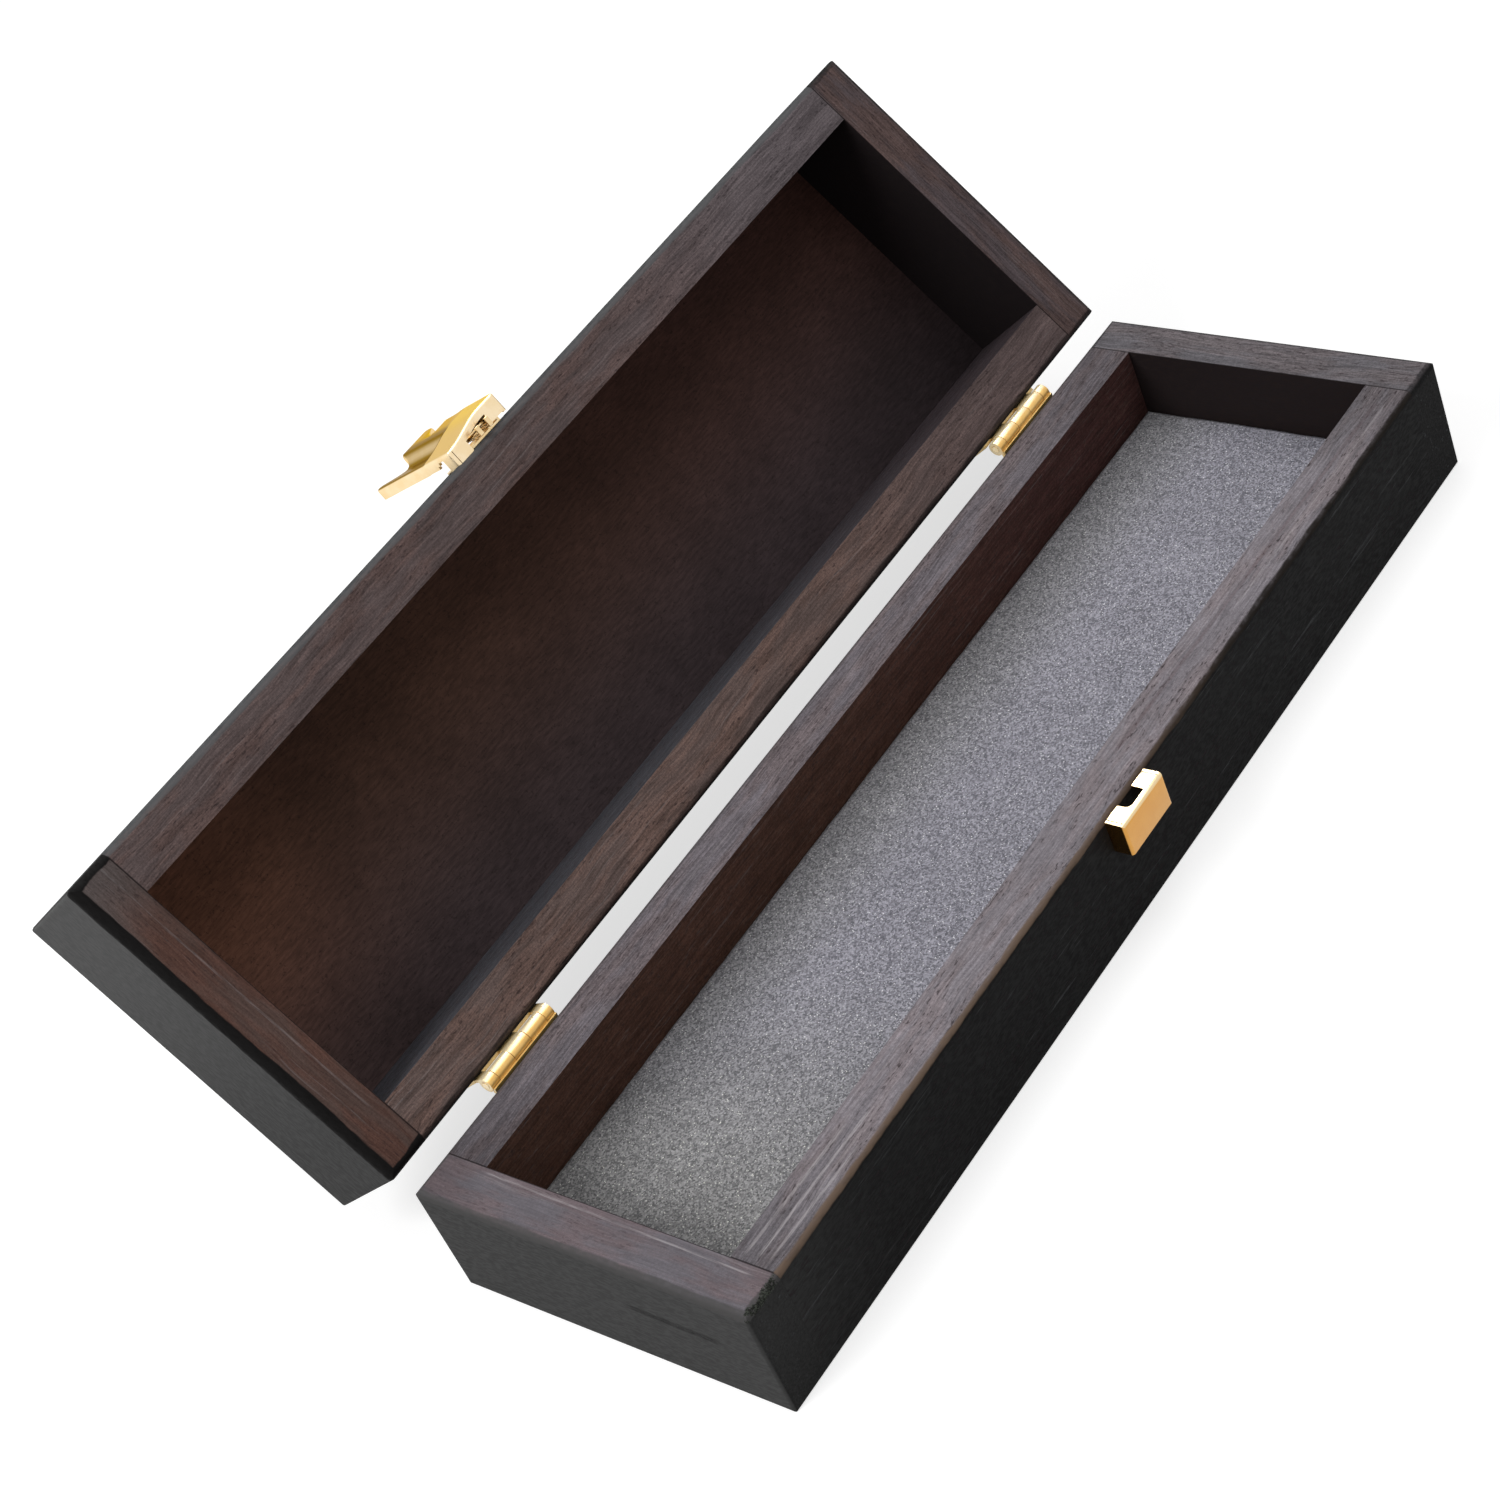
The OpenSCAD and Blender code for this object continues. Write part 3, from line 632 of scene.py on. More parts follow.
def panelWood(name, lid, p):
    material, tree, shader = startMaterial(name)
    spot, facing = shutCoordinates(tree, lid)
    x, y, z = split(spot)
    grain = grainNoise((x, y, z), p["grain"], p["grainShift"])
    mottle = noiseAt(spot, detail=4, scale=0.06)
    stipple = noiseAt(spot, detail=2, scale=1.6)
    inside = mixColour(softStep(x, *p["toMiddle"]), p["near"], p["middle"])
    inside = mixColour(softStep(x, *p["toFar"]), inside, p["far"])
    inside = mixColour(softStep(y, *p["toBack"]), inside, p["cool"])
    outward = times(split(facing)[2], 1.0 if lid else -1.0)
    colour = mixColour(softStep(outward, *p["outward"]), inside, p["outside"])
    shade = times(softStep(grain, *p["grainShade"]), softStep(mottle, *p["mottleShade"]))
    # painted light near the front wall and painted shade in the far back corner
    shade = times(shade, softStep(y, *p["paintedFrontLight"]))
    corner = times(softStep(x, *p["cornerAlong"]), softStep(y, *p["cornerAcross"]))
    shade = times(shade, between(corner, 1.0, p["paintedCornerShade"]))
    colour = tinted(colour, shade)
    colour = mixColour(softStep(stipple, *p["speckHere"]), colour, p["speck"])
    dullSurface(shader, colour, p["roughness"], p["gloss"], bumped(grain))
    return material


dress(nodes["lid_panel"], panelWood("lidPanelWood", True, panels))
dress(nodes["base_panel"], panelWood("basePanelWood", False, panels))
print("wood stained")


# The bed of foam

foam = {
    "cell": 0.0011,
    "swell": 0.00012,
    "waves": ((260, 0.3), (60, 0.7)),
    "edgeRadius": 0.0008,
    "light": (0.375, 0.368, 0.420),
    "dark": (0.120, 0.118, 0.138),
    "spark": (0.80, 0.80, 0.83),
    "pore": 3.4,
    "contrast": 1.25,
    "sparkChance": (0.93, 0.96),
    "sparkSize": (0.25, 0.5, 1.0, 0.0),
    "driftShade": (0.3, 0.7, 0.94, 1.06),
    "nearShade": (-85, -25, 0.9, 1.0),
    "backShade": (4, 22, 1.05, 0.74),
    "nearGrey": (-95, -30, 0.9, 0.0),
    "backGrey": (2, 22, 0.0, 0.6),
    "grey": (1.03, 1.04, 0.90),
    "roughness": 0.95,
    "gloss": 0.1,
    "bump": 0.3,
}


def foamMaterial(f):
    material, tree, shader = startMaterial("greyFoam")
    spot = inMillimetres(tree)[0].outputs[0]
    x, y, z = split(spot)
    cells = nodeAfter("ShaderNodeTexVoronoi", {"Vector": spot, "Scale": f["pore"]}, feature="F1").outputs
    chance = nodeAfter("ShaderNodeSeparateColor", {0: cells["Color"]}).outputs
    drift = noiseAt(spot, detail=3, scale=0.05)
    body = mixColour(calculate("POWER", chance[0], f["contrast"]), f["dark"], f["light"])
    lit = softStep(chance[1], *f["sparkChance"])
    lit = times(lit, softStep(cells["Distance"], *f["sparkSize"]))
    colour = mixColour(lit, body, f["spark"])
    # painted shade makes it darker towards the near end and the back wall, where it is also greyer; it
    # stays paler along the middle and the front
    shade = times(softStep(drift, *f["driftShade"]), softStep(x, *f["nearShade"]))
    shade = times(shade, softStep(y, *f["backShade"]))
    colour = tinted(colour, shade)
    greyer = calculate("MAXIMUM", softStep(x, *f["nearGrey"]), softStep(y, *f["backGrey"]))
    colour = mixColour(greyer, colour, mixColour(1.0, colour, f["grey"], "MULTIPLY"))
    dullSurface(shader, colour, f["roughness"], f["gloss"], bumped(chance[0], f["bump"]))
    return material


def thingFrom(bm, name):
    mesh = bpy.data.meshes.new(name)
    bm.to_mesh(mesh)
    bm.free()
    return addThing(name, mesh)


def joinRings(bm, first, second):
    for i in range(len(first)):
        j = (i + 1) % len(first)
        bm.faces.new((first[i], first[j], second[j], second[i]))


def makeFoam(f):
    low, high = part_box("foam_pad")
    bm = bmesh.new()
    size = high - low
    nx, ny = round(size.x / f["cell"]), round(size.y / f["cell"])
    r = f["edgeRadius"]

    def point(i, j):
        x = low.x + size.x * i / nx
        y = low.y + size.y * j / ny
        edge = min(x - low.x, high.x - x, y - low.y, high.y - y)
        drop = r - math.sqrt(max(0.0, r * r - (r - edge) ** 2)) if edge < r else 0.0
        wave = sum(noise.noise(Vector((x, y, layer)) * rate) * f["swell"] for rate, layer in f["waves"])
        return x, y, high.z - drop + wave - 2 * f["swell"]

    top = [[bm.verts.new(point(i, j)) for j in range(ny + 1)] for i in range(nx + 1)]
    for i in range(nx):
        for j in range(ny):
            bm.faces.new((top[i][j], top[i + 1][j], top[i + 1][j + 1], top[i][j + 1]))
    ring = [top[i][0] for i in range(nx + 1)] + [top[nx][j] for j in range(1, ny + 1)]
    ring += [top[i][ny] for i in range(nx - 1, -1, -1)] + [top[0][j] for j in range(ny - 1, 0, -1)]
    foot = [bm.verts.new((v.co.x, v.co.y, low.z)) for v in ring]
    joinRings(bm, foot, ring)
    bm.faces.new(list(reversed(foot)))
    bmesh.ops.recalc_face_normals(bm, faces=bm.faces)
    thing = thingFrom(bm, "foamBed")
    dress(thing, foamMaterial(f))
    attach(thing, "base")
    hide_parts("foam_pad")


makeFoam(foam)
print("foam laid")


# Brass

# A second tone goes by the way the surface faces (bright, a painted highlight) or by millimetres from the
# axis (sheet)
brass = {
    "keeper": {
        "colour": (0.55, 0.262, 0.048), "pale": (0.57, 0.28, 0.055), "roughness": 0.18,
        # painted highlight: the keeper's top is painted cream
        "bright": {"facing": (0, -0.35, 0.94), "step": (0.55, 0.9), "tone": (0.80, 0.62, 0.36)},
    },
    "lever": {
        "colour": (0.88, 0.69, 0.42), "pale": (0.92, 0.75, 0.50), "roughness": 0.28, "coat": 0.05,
        "grazing": (0.80, 0.62, 0.32),
    },
    "plate": {"colour": (0.80, 0.58, 0.30), "pale": (0.86, 0.66, 0.38), "roughness": 0.2},
    "hinge": {
        "colour": (0.86, 0.51, 0.14), "pale": (0.89, 0.56, 0.18), "roughness": 0.32, "metal": 0.5,
        "coat": 0.2,
        # painted light: the knuckles' side towards the lid is painted cream
        "bright": {"facing": (0, 0.9, 0.44), "step": (-0.3, 0.12), "tone": (0.96, 0.79, 0.49)},
        "sheet": {"step": (1.5, 1.8), "tone": (0.84, 0.60, 0.26)},
    },
    "wire": {"colour": (0.90, 0.68, 0.36), "pale": (0.93, 0.78, 0.50), "roughness": 0.2},
    "leaf": {"colour": (0.62, 0.42, 0.14), "pale": (0.70, 0.50, 0.20), "roughness": 0.3, "metal": 0.6},
}

finish = {
    "cloud": (0.35, 0.65),
    "fine": (0.3, 0.75),
    "roughMore": 0.08,
    "coat": 0.35,
    "coatRoughness": 0.12,
    "bump": (0.12, 0.00002),
}


def startBrass(name, b):
    material, tree, shader = startMaterial(name)
    spot = inMillimetres(tree)[0].outputs[0]
    cloud = softStep(noiseAt(spot, detail=3, scale=0.35), *finish["cloud"])
    fine = noiseAt(spot, detail=4, scale=5.0, roughness=0.7)
    giveInputs(shader, {
        "Roughness": softStep(fine, *finish["fine"], b["roughness"], b["roughness"] + finish["roughMore"]),
        "Metallic": b.get("metal", 1.0),
        "Coat Weight": b.get("coat", finish["coat"]),
        "Coat Roughness": finish["coatRoughness"],
        "Specular Tint": (*b.get("grazing", (1, 1, 1)), 1),
        "Normal": bumped(fine, *finish["bump"]),
    })
    return material, tree, shader, mixColour(cloud, b["colour"], b["pale"])


def faces(normal, direction):
    values = {0: normal, 1: direction}
    return nodeAfter("ShaderNodeVectorMath", values, operation="DOT_PRODUCT").outputs["Value"]


def brassMaterial(name, b):
    material, tree, shader, colour = startBrass(name, b)
    spot, normal = inMillimetres(tree)
    if "bright" in b:  # the side painted pale as a painted highlight
        bright = b["bright"]
        share = softStep(faces(normal, bright["facing"]), *bright["step"])
        colour = mixColour(share, colour, bright["tone"])
    if "sheet" in b:  # the leaf beyond its knuckles
        x, y, z = split(spot.outputs[0])
        offY = minus(y, box["hinge"].y * mm)
        offZ = minus(z, box["hinge"].z * mm)
        away = calculate("SQRT", plus(times(offY, offY), times(offZ, offZ)))
        colour = mixColour(softStep(away, *b["sheet"]["step"]), colour, b["sheet"]["tone"])
    giveInputs(shader, {"Base Color": colour})
    return material


# The lever in millimetres, on the shut box: x from its middle, heights from the rim, depths from its face
lever = {
    "middle": -0.2, "pin": (2.2, 2.2), "tilt": 9.4, "face": 4.9, "sheet": 0.55, "bend": 0.5, "smooth": 50,
    "low": 0.3, "bodyHalf": 7.6, "waistHalf": 4.5, "tabHalf": 7.7, "taper": 19.3, "waist": 20.8,
    "tab": 25.6, "tip": 27.6, "nearWaist": 7.6, "nearTip": (2.4, 2.5, 4, 22, 5), "tabCorner": 1.3,
    "bodyCorner": 0.7, "dip": 2.9, "dipMiddle": -1.9, "dipHalf": 2.4, "cutHalf": 3.2, "slit": (6.7, 6.85),
    "cheek": 3.9, "gap": (5.2, 6.2), "floor": 0.32, "floorSteps": ((0.8, 1.6, 2.4), (3.9, 4.7, 5.5, 6.2)),
    "sideSteps": 21, "waistSteps": 30, "tipSteps": 40, "bendSteps": 4,
    "lean": (1.5, 3, 10.5), "plateau": 4.65, "fold": (0.6, 3.2, 2.05), "rise": (0.7, -2.6, 4.8),
    "neck": (0.6, 1.3, 2.2, 2.4), "line": (10.0, 0.7), "lineSpread": (1, 0.8),
    "depths": (0.5, 1.1, 1.7, 2.3, 2.6, 2.9, 3.3, 3.8, 4.05),
    "edges": {
        "cut": 1.7, "prong": 3.8, "slit": 0.5, "cheek": 4.05, "gap": (1.1, 1.7), "near": 2.3, "far": 2.6,
    },
}

# The fine net in the lever's face: its columns and rows, and the closer rows along the pressed line
leverNet = {
    "column": 0.4, "columns": 19, "row": 0.6, "rows": 47, "lineRow": 0.12, "lineRows": 7, "lineMiddle": 0.3,
    "lineHalf": 0.9, "clear": 0.3,
}

# Tones painted on the lever's outer face as painted reflection and shade: near and body in front of the
# pressed line, slope and tail behind it, and a dark line along it
leverFace = {
    "near": (0.78, 0.60, 0.31),
    "body": (0.84, 0.64, 0.17),
    "tail": (0.68, 0.46, 0.075),
    "slope": (0.31, 0.20, 0.055),
    "line": (0.13, 0.07, 0.02),
    "onFace": (0.55, 0.92),
    "toBody": (-2.5, 4.5),
    "toTail": (1.0, 4.0),
    "lineSoft": 0.5,
    "lineHalf": (0.12, 0.42, 1.0, 0.0),
    "lineEnd": (0.5, 2.0, 1.0, 0.0),
}

leverTilt = math.radians(lever["tilt"])
leverPin = Vector((0, -box["halfWidth"] - lever["pin"][0] / mm, box["lidRim"] + lever["pin"][1] / mm))
leverToRest = toRest @ turnAbout(leverPin, leverTilt)
leverOutward = leverToRest.to_3x3() @ Vector((0, -1, 0))


def leverMaterial(name, b, f):
    # the lever's outer face is painted a deeper yellow behind the pressed line and on its far half as
    # painted reflection, with painted shade on the slope behind the line and along the line itself
    material, tree, shader, colour = startBrass(name, b)
    spot, normal = inMillimetres(tree)
    moved = leverToRest.inverted().translation * mm
    giveInputs(spot, {"Rotation": (box["openAngle"] - leverTilt, 0, 0), "Location": moved})
    x, y, z = split(spot.outputs[0])
    height = minus(z, box["lidRim"] * mm)
    line = lever["line"][0]
    onFace = softStep(faces(normal, leverOutward), *f["onFace"])
    front = mixColour(softStep(x, *f["toBody"]), f["near"], f["body"])
    behind = mixColour(softStep(x, *f["toTail"]), f["slope"], f["tail"])
    deep = mixColour(softStep(height, line, line + f["lineSoft"]), front, behind)
    # painted shade along the pressed line
    pressed = softStep(distance(height, line), *f["lineHalf"])
    deep = mixColour(times(pressed, softStep(x, *f["lineEnd"])), deep, f["line"])
    grazing = mixColour(onFace, b["grazing"], mixColour(0.5, deep, b["grazing"]))
    giveInputs(shader, {"Specular Tint": grazing, "Base Color": mixColour(onFace, colour, deep)})
    return material


def finishPiece(thing, body, node=None):
    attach(thing, body)
    if node:
        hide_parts(node)


def bakeModifiers(thing):
    # the evaluated mesh takes the place of the modifiers
    bpy.context.view_layer.update()
    baked = bpy.data.meshes.new_from_object(thing.evaluated_get(bpy.context.evaluated_depsgraph_get()))
    thing.modifiers.clear()
    thing.data = baked


def smoothByAngle(thing, degrees):
    bm = bmesh.new()
    bm.from_mesh(thing.data)
    for face in bm.faces:
        face.smooth = True
    for edge in bm.edges:
        edge.smooth = len(edge.link_faces) == 2 and edge.calc_face_angle(0) < math.radians(degrees)
    bm.to_mesh(thing.data)
    bm.free()


eased = {"width": 0.00012, "segments": 3, "foldAngle": 35, "smoothAngle": 40, "join": 1e-6}


def softened(node, name, material, body, width=eased["width"], segments=eased["segments"]):
    # a copy of a CAD solid with its sharp folds eased, as pressed sheet has them
    bm = bmesh.new()
    bm.from_mesh(nodes[node].data)
    bmesh.ops.remove_doubles(bm, verts=bm.verts, dist=eased["join"])
    bmesh.ops.dissolve_limit(bm, angle_limit=math.radians(1), verts=bm.verts, edges=bm.edges)
    thing = thingFrom(bm, name)
    bevel = thing.modifiers.new("easedFolds", "BEVEL")
    bevel.limit_method = "ANGLE"
    bevel.angle_limit = math.radians(eased["foldAngle"])
    bevel.width = width
    bevel.segments = segments
    bakeModifiers(thing)
    smoothByAngle(thing, eased["smoothAngle"])
    dress(thing, material)
    finishPiece(thing, body, node)


keeperBrass = brassMaterial("keeperBrass", brass["keeper"])
leverBrass = leverMaterial("leverBrass", brass["lever"], leverFace)
plateBrass = brassMaterial("plateBrass", brass["plate"])
hingeBrass = brassMaterial("hingeBrass", brass["hinge"])
wireBrass = brassMaterial("wireBrass", brass["wire"])
leafBrass = brassMaterial("leafBrass", brass["leaf"])

softened("keeper", "foldedKeeper", keeperBrass, "base", width=0.00022, segments=4)
for end in ("near", "far"):
    softened(end + "_hinge_base_leaf", end + "HingeBaseLeaf", hingeBrass, "base")
    softened(end + "_hinge_lid_leaf", end + "HingeLidLeaf", hingeBrass, "lid")
softened("catch_plate", "catchPlate", plateBrass, "lid", width=0.0001)
softened("catch_hook", "catchHook", plateBrass, "lever", width=0.00008)
for name in ("near_hinge_pin", "far_hinge_pin", "catch_pin"):
    dress(nodes[name], wireBrass)


def stripPiece(name, strips, material, body):
    # one piece made of tubes, each given as rows of points
    bm = bmesh.new()
    for rows in strips:
        made = [[bm.verts.new(point) for point in row] for row in rows]
        for first, second in zip(made, made[1:]):
            joinRings(bm, first, second)
        bm.faces.new(made[-1])
        bm.faces.new(list(reversed(made[0])))
    bmesh.ops.recalc_face_normals(bm, faces=bm.faces)
    thing = thingFrom(bm, name)
    dress(thing, material)
    finishPiece(thing, body)
    return thing


hinge = {"x": 0.083, "nailsApart": 0.0056, "nailsAway": 0.0061, "leaf": 0.0007}
leafLip = {
    "half": 0.0089, "round": 0.0016, "turn": (229, 188), "steps": 8, "wall": 0.00004, "foot": 0.00175,
}


def makeLips(v):
    # the upper edge of each base leaf is curled a little round the knuckles of the lid's leaf
    wall = box["halfWidth"] + v["wall"]
    section = [(wall, box["hinge"].z - v["foot"])]
    first, last = v["turn"]
    angles = [first + (last - first) * k / v["steps"] for k in range(v["steps"] + 1)]
    section += arc(box["hinge"].y, box["hinge"].z, v["round"], angles)
    section.append((wall, section[-1][1]))
    strips = []
    for middle in (-hinge["x"], hinge["x"]):
        strips.append([[(x, y, z) for y, z in section] for x in (middle - v["half"], middle + v["half"])])
    smoothByAngle(stripPiece("leafLips", strips, leafBrass, "base"), eased["smoothAngle"])


makeLips(leafLip)
print("brass folded")


# Nails, set by Geometry Nodes

nails = {
    "Head Radius": 0.00095,
    "Head Height": 0.0004,
    "Shank Radius": 0.0004,
    "Shank Length": 0.0045,
    "Tip Length": 0.0007,
}
nailMesh = {"sides": 24, "rings": 16, "point": 0.00005}


def nailTree(n):
    # one round-headed nail on every point of the mesh, its head turned to Outward
    tree = bpy.data.node_groups.new("roundHeadNails", "GeometryNodeTree")
    kinds = {"Geometry": "Geometry", **dict.fromkeys(nails, "Float")}
    kinds.update({"Outward": "Vector", "Finish": "Material"})
    for label, kind in kinds.items():
        tree.interface.new_socket(label, in_out="INPUT", socket_type="NodeSocket" + kind)
    tree.interface.new_socket("Geometry", in_out="OUTPUT", socket_type="NodeSocketGeometry")
    given = tree.nodes.new("NodeGroupInput").outputs
    wide, high, radius, length, tipLength = [given[label] for label in nails]

    def made(kind, values, **settings):
        return addNode(tree, kind, values, **settings).outputs[0]

    def vector(x, y, z):
        return made("ShaderNodeCombineXYZ", {0: x, 1: y, 2: z})

    ball = made("GeometryNodeMeshUVSphere", {"Segments": n["sides"], "Rings": n["rings"], "Radius": 1.0})
    head = made("GeometryNodeTransform", {"Geometry": ball, "Scale": vector(wide, wide, high)})
    rod = made("GeometryNodeMeshCylinder", {"Vertices": n["sides"], "Radius": radius, "Depth": length})
    down = vector(0, 0, times(length, -0.5))
    shank = made("GeometryNodeTransform", {"Geometry": rod, "Translation": down})
    values = {"Vertices": n["sides"], "Radius Top": n["point"], "Radius Bottom": radius, "Depth": tipLength}
    values = {"Geometry": made("GeometryNodeMeshCone", values), "Rotation": (math.pi, 0, 0)}
    tip = made("GeometryNodeTransform", {**values, "Translation": vector(0, 0, times(length, -1.0))})
    joined = addNode(tree, "GeometryNodeJoinGeometry")
    for part in (head, shank, tip):
        tree.links.new(part, joined.inputs[0])
    smooth = made("GeometryNodeSetShadeSmooth", {"Geometry": joined.outputs[0]})
    turn = made("FunctionNodeAlignRotationToVector", {"Vector": given["Outward"]}, axis="Z")
    points = made("GeometryNodeMeshToPoints", {"Mesh": given["Geometry"]})
    placed = made("GeometryNodeInstanceOnPoints", {"Points": points, "Instance": smooth, "Rotation": turn})
    real = made("GeometryNodeRealizeInstances", {"Geometry": placed})
    painted = made("GeometryNodeSetMaterial", {"Geometry": real, "Material": given["Finish"]})
    addNode(tree, "NodeGroupOutput", {0: painted})
    return tree


nailMaker = nailTree(nailMesh)


def setNails(name, node, body, spots, outward):
    # spots are the heads' seats on the shut box, and outward the way they face there
    mesh = bpy.data.meshes.new(name)
    place = toRest if body == "lid" else Matrix.Identity(4)
    mesh.from_pydata([place @ Vector(s) for s in spots], [], [])
    thing = addThing(name, mesh)
    modifier = thing.modifiers.new("nails", "NODES")
    modifier.node_group = nailMaker
    values = {**nails, "Outward": place.to_3x3() @ Vector(outward), "Finish": wireBrass}
    for item in nailMaker.interface.items_tree:
        if item.in_out == "INPUT" and item.name in values:
            modifier[item.identifier] = values[item.name]
    bakeModifiers(thing)
    finishPiece(thing, body, node)


plate = {"middle": -0.0002, "nailsApart": 0.0034, "nailsAbove": 0.00675, "thick": 0.0005}


def seats(middles, apart, y, z):
    return [(x + turn * apart, y, z) for x in middles for turn in (-1, 1)]


row = ((-hinge["x"], hinge["x"]), hinge["nailsApart"], box["halfWidth"] + hinge["leaf"])
low, high = box["hinge"].z - hinge["nailsAway"], box["hinge"].z + hinge["nailsAway"]
setNails("hingeNailsBase", "hinge_base_nails", "base", seats(*row, low), (0, 1, 0))
setNails("hingeNailsLid", "hinge_lid_nails", "lid", seats(*row, high), (0, 1, 0))
row = ((plate["middle"],), plate["nailsApart"], -box["halfWidth"] - plate["thick"])
above = box["lidRim"] + plate["nailsAbove"]
setNails("catchPlateNails", "catch_nails", "lid", seats(*row, above), (0, -1, 0))
print("nails driven")


# The catch's lever, one pressed sheet with its edge turned back all round

def ease(a, b, t):
    t = min(1.0, max(0.0, t))
    return a + (b - a) * (1 - math.cos(math.pi * t)) / 2


def leverHalf(z, waist, v):
    if z < v["waist"]:
        return ease(v["bodyHalf"], waist, (z - v["taper"]) / (v["waist"] - v["taper"]))
    return ease(waist, v["tabHalf"], (z - v["waist"]) / (v["tab"] - v["waist"]))


def leverSide(waist, v):
    # one side of the outline, from the middle of the floor to the tab's corner, as (x, height)
    inCut, outside = v["floorSteps"]
    side = [(x, v["low"]) for x in (*inCut, v["cutHalf"], *outside, *v["slit"])]
    c = v["bodyCorner"]
    corner = v["low"] + c
    side += arc(v["bodyHalf"] - c, corner, c, range(-72, 1, 18))
    for i in range(1, v["sideSteps"] + 1):
        side.append((v["bodyHalf"], corner + (v["taper"] - corner) * i / v["sideSteps"]))
    for i in range(1, v["waistSteps"] + 1):
        z = v["taper"] + (v["tab"] - v["taper"]) * i / v["waistSteps"]
        side.append((leverHalf(z, waist, v), z))
    c = v["tabCorner"]
    return side + arc(v["tabHalf"] - c, v["tip"] - c, c, range(0, 91, 10))


def leverOutline(v):
    # round the outline anticlockwise: the far side is waisted, the near one almost straight
    edge = v["tabHalf"] - v["tabCorner"]
    tip = []
    for i in range(1, v["tipSteps"]):
        x = edge - 2 * edge * i / v["tipSteps"]
        off = abs(x - v["dipMiddle"]) / v["dipHalf"]
        tip.append((x, v["tip"] - (v["dip"] * (1 + math.cos(math.pi * off)) / 2 if off < 1 else 0)))
    near = [(-x, z) for x, z in reversed(leverSide(v["nearWaist"], v))]
    ring = [(0, v["low"])] + leverSide(v["waistHalf"], v) + tip + near
    # the near corner of the tab reaches a little further
    more, x0, xSpan, z0, zSpan = v["nearTip"]
    return [(x, z + more * ease(0, 1, (-x - x0) / xSpan) * ease(0, 1, (z - z0) / zSpan)) for x, z in ring]


def leverFaceAt(x, z, v):
    # in front of the pressed line the face slopes to the near side; behind it, it folds down in one step
    drop, start, width = v["lean"]
    front = v["face"] - ease(0, drop, (start - x) / width)
    start, width, drop = v["fold"]
    rise, riseStart, riseWidth = v["rise"]
    behind = v["plateau"] - ease(0, drop, (start - x) / width) + ease(0, rise, (riseStart - x) / riseWidth)
    sink, half, start, width = v["neck"]
    behind -= sink * math.exp(-(((z - v["waist"]) / half) ** 2)) * ease(0, 1, (x - start) / width)
    place, width = v["line"]
    spreadStart, spread = v["lineSpread"]
    if x > spreadStart:
        width += (x - spreadStart) * spread
    return front + (behind - front) * ease(0, 1, (z - place) / width)


def leverDepth(x, z, v):
    # how deep the turned-back edge reaches at this place of the outline
    deep = v["edges"]
    if z < v["floor"]:
        if abs(x) < v["cutHalf"]:
            return deep["cut"]
        if abs(x) < v["slit"][0]:
            return deep["prong"]
        return deep["slit"] if -v["slit"][1] < x < 0 else deep["cheek"]
    if z < v["cheek"]:
        return deep["cheek"]
    if z < v["gap"][1]:
        return deep["gap"][0 if z < v["gap"][0] else 1]
    return deep["near" if x < 0 else "far"]


def inward(points):
    # unit normals pointing into a ring that runs anticlockwise
    n = len(points)
    result = []
    for i in range(n):
        ax, az = points[i - 1]
        bx, bz = points[(i + 1) % n]
        dx, dz = bx - ax, bz - az
        length = math.hypot(dx, dz)
        result.append((-dz / length, dx / length))
    return result


def insideRing(x, z, ring):
    inside = False
    for (ax, az), (bx, bz) in zip(ring, ring[1:] + ring[:1]):
        if (az > z) != (bz > z) and x < (bx - ax) * (z - az) / (bz - az) + ax:
            inside = not inside
    return inside


def leverPlace(v, turned=leverToRest):
    # from (x, height, depth) on the shut box to the photographed pose
    def place(x, z, o):
        spot = ((x + v["middle"]) / mm, -box["halfWidth"] - o / mm, box["lidRim"] + z / mm)
        return turned @ Vector(spot)

    return place


def netPoints(points, v, n):
    line = v["line"][0] + n["lineMiddle"]
    rows = [n["row"] * i for i in range(1, n["rows"] + 1)]
    rows = [z for z in rows if abs(z - line) > n["lineHalf"]]
    rows += [line + n["lineRow"] * i for i in range(-n["lineRows"], n["lineRows"] + 1)]
    inside = []
    for column in range(-n["columns"], n["columns"] + 1):
        x = column * n["column"]
        for z in rows:
            near = min((x - px) ** 2 + (z - pz) ** 2 for px, pz in points)
            if insideRing(x, z, points) and near > n["clear"] ** 2:
                inside.append((x, z))
    return inside


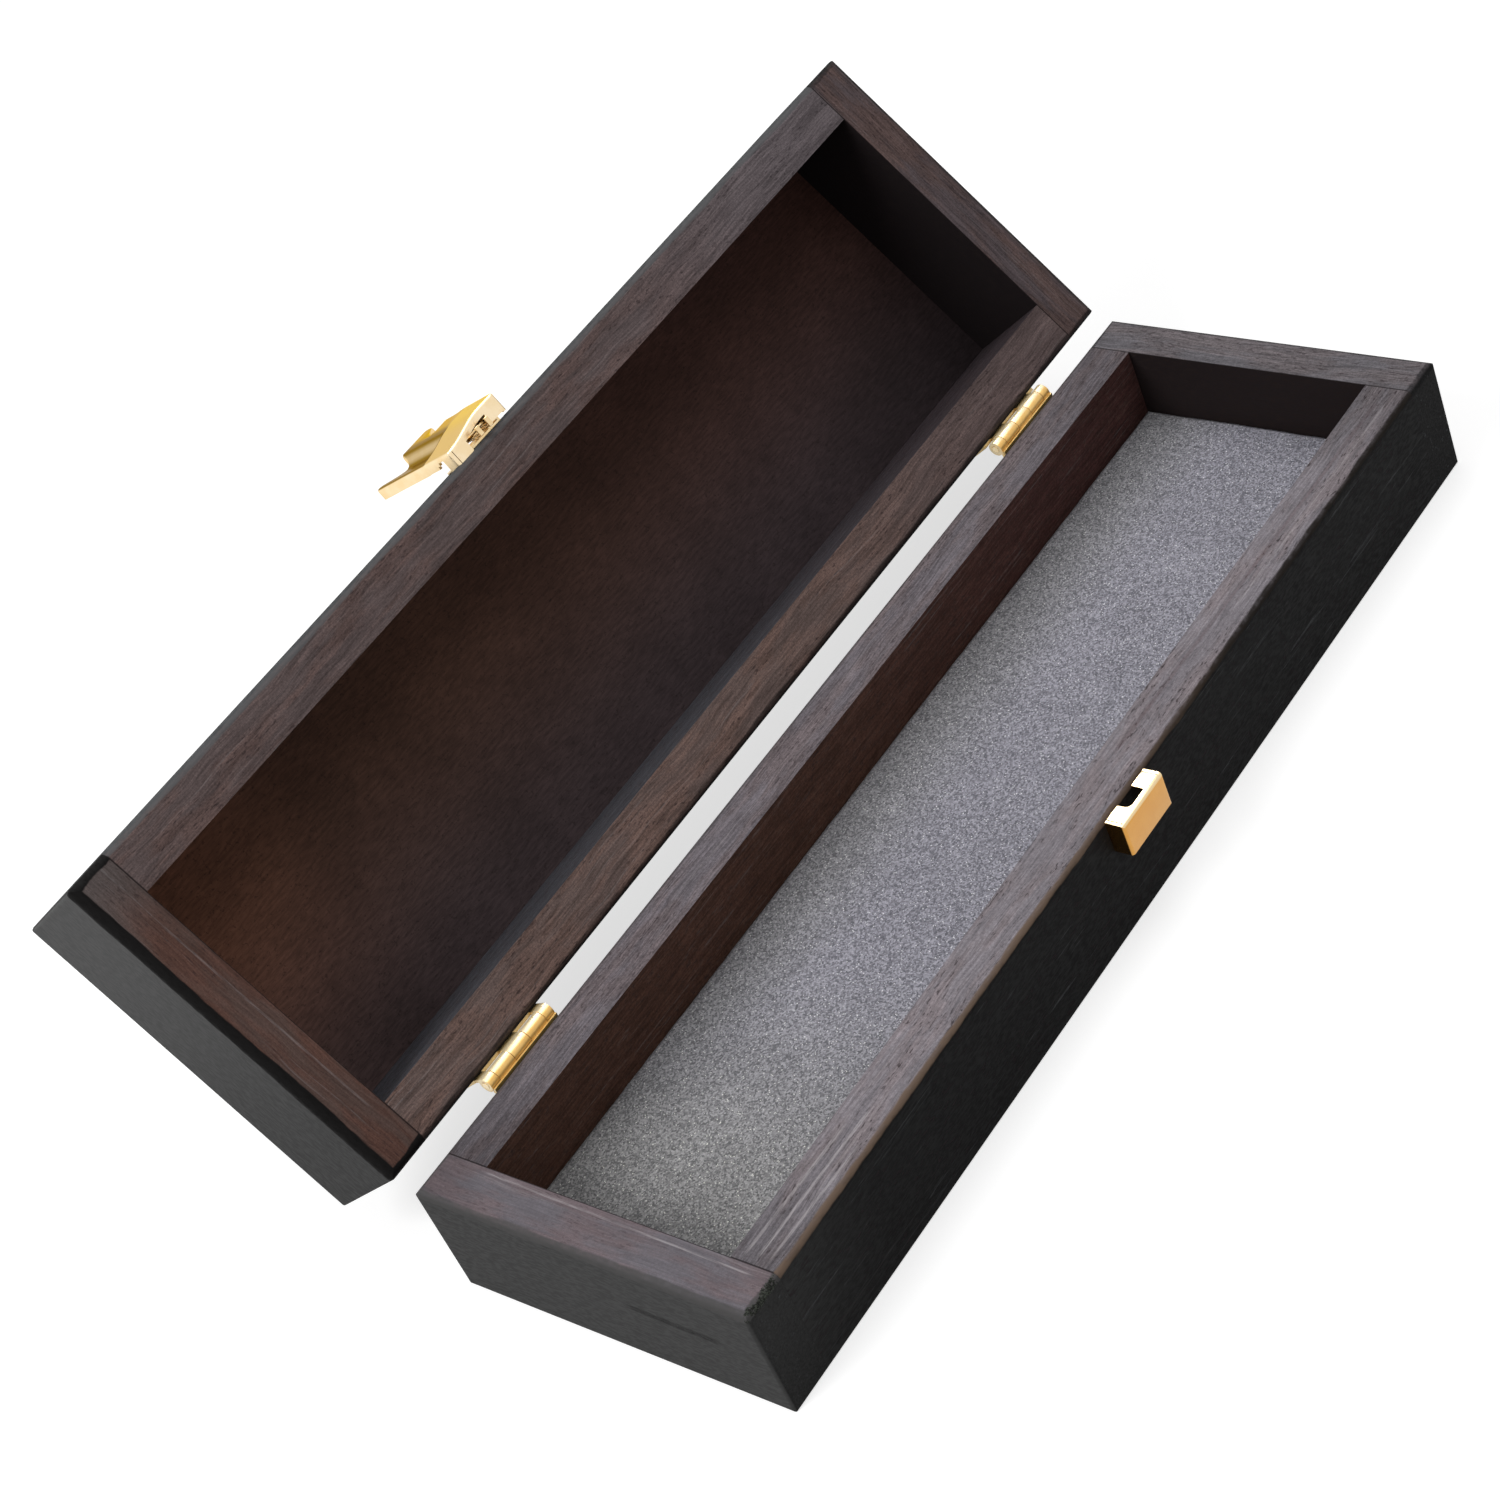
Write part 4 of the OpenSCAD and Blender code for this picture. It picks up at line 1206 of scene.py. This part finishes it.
def makeLever(v):
    place = leverPlace(v)
    ring = leverOutline(v)
    into = inward(ring)
    n = len(ring)
    bm = bmesh.new()

    def row(points, below):
        return [bm.verts.new(place(x, z, leverFaceAt(x, z, v) - below)) for x, z in points]

    walls = [row(ring, depth) for depth in v["depths"]]
    for k in range(len(v["depths"]) - 1):
        for i in range(n):
            j = (i + 1) % n
            middle = ((ring[i][0] + ring[j][0]) / 2, (ring[i][1] + ring[j][1]) / 2)
            if v["depths"][k + 1] <= leverDepth(*middle, v) + 1e-6:
                bm.faces.new((walls[k + 1][i], walls[k + 1][j], walls[k][j], walls[k][i]))
    last, points = walls[0], ring
    for step in range(1, v["bendSteps"] + 1):
        angle = math.radians(90 * step / v["bendSteps"])
        inset = v["bend"] * (1 - math.cos(angle))
        points = [(x + nx * inset, z + nz * inset) for (x, z), (nx, nz) in zip(ring, into)]
        bent = row(points, v["bend"] * (1 - math.sin(angle)))
        joinRings(bm, last, bent)
        last = bent
    corners = [Vector(p) for p in points + netPoints(points, v, leverNet)]
    net = geometry.delaunay_2d_cdt(corners, [], [list(range(n))], 1, 1e-6)
    made = []
    for spot, origins in zip(net[0], net[3]):
        if origins and origins[0] < n:
            made.append(last[origins[0]])
        else:
            made.append(bm.verts.new(place(spot.x, spot.y, leverFaceAt(spot.x, spot.y, v))))
    for face in net[2]:
        bm.faces.new([made[k] for k in face])
    bmesh.ops.delete(bm, geom=[vert for vert in bm.verts if not vert.link_faces], context="VERTS")
    bmesh.ops.recalc_face_normals(bm, faces=bm.faces)
    # the flat parts show which way round the sheet came out
    seen = [(face.normal.dot(leverOutward), face.calc_area()) for face in bm.faces]
    if sum(facing * area for facing, area in seen if abs(facing) > 0.8) < 0:
        bmesh.ops.reverse_faces(bm, faces=bm.faces)
    thing = thingFrom(bm, "catchLever")
    sheet = thing.modifiers.new("sheet", "SOLIDIFY")
    sheet.thickness = v["sheet"] / mm
    sheet.offset = -1
    bakeModifiers(thing)
    smoothByAngle(thing, v["smooth"])
    dress(thing, leverBrass)
    finishPiece(thing, "lever", "catch_lever")


eye = {
    "radius": 0.72, "half": 0.21, "span": (3.2, 4.8), "foot": ((1.35, 0.55), 1.0, 1.6),
    "curl": (180, -46, -15),
}


def makeEyes(v, e):
    # each eye is a strip of the floor curled over the pin
    place = leverPlace(v)
    pinO, pinZ = v["pin"]
    start, lower, upper = e["foot"]
    path = [start, (pinO - e["radius"], lower), (pinO - e["radius"], upper)]
    path += arc(pinO, pinZ, e["radius"], range(*e["curl"]))
    strips = []
    for side in (-1, 1):
        x0, x1 = sorted(side * x for x in e["span"])
        corners = ((x0, 1), (x1, 1), (x1, -1), (x0, -1))
        rows = []
        for i, (o, z) in enumerate(path):
            ao, az = path[max(0, i - 1)]
            bo, bz = path[min(len(path) - 1, i + 1)]
            length = math.hypot(bo - ao, bz - az)
            no, nz = -(bz - az) / length * e["half"], (bo - ao) / length * e["half"]
            rows.append([place(x, z + s * nz, o + s * no) for x, s in corners])
        strips.append(rows)
    smoothByAngle(stripPiece("leverEyes", strips, leverBrass, "lever"), eased["smoothAngle"])


sills = {
    "rim": ((0, 0.1), (0, 1.02), (0.12, 1.1), (0.38, 1.1), (0.5, 1.02), (0.5, 0.1)),
    "spans": ((-3.1, -1.75, 1.5), (2.55, 3.1, 1.5), (-5.3, 5.3, 4.9)),
}


def makeSills(v, s):
    # the plate's lower edge is turned out on both sides of the hook, and a rib crosses it above the ears
    place = leverPlace(v, toRest)
    strips = [[[place(x, low + z, o) for z, o in s["rim"]] for x in (x0, x1)] for x0, x1, low in s["spans"]]
    stripPiece("plateSills", strips, plateBrass, "lid")


web = {
    "corners": ((-6.9, 1.0), (6.9, 1.0), (6.9, 4.3), (2.0, 4.3), (-2.5, 3.6), (-6.9, 2.8)),
    "heights": (4.3, 4.6),
}


def makeWeb(v, w):
    # a cross web stiffens the sheet behind the eyes
    place = leverPlace(v)
    strips = [[[place(x, z, o) for x, o in w["corners"]] for z in w["heights"]]]
    stripPiece("leverWeb", strips, leverBrass, "lever")


makeLever(lever)
makeEyes(lever, eye)
makeSills(lever, sills)
makeWeb(lever, web)
print("lever pressed")
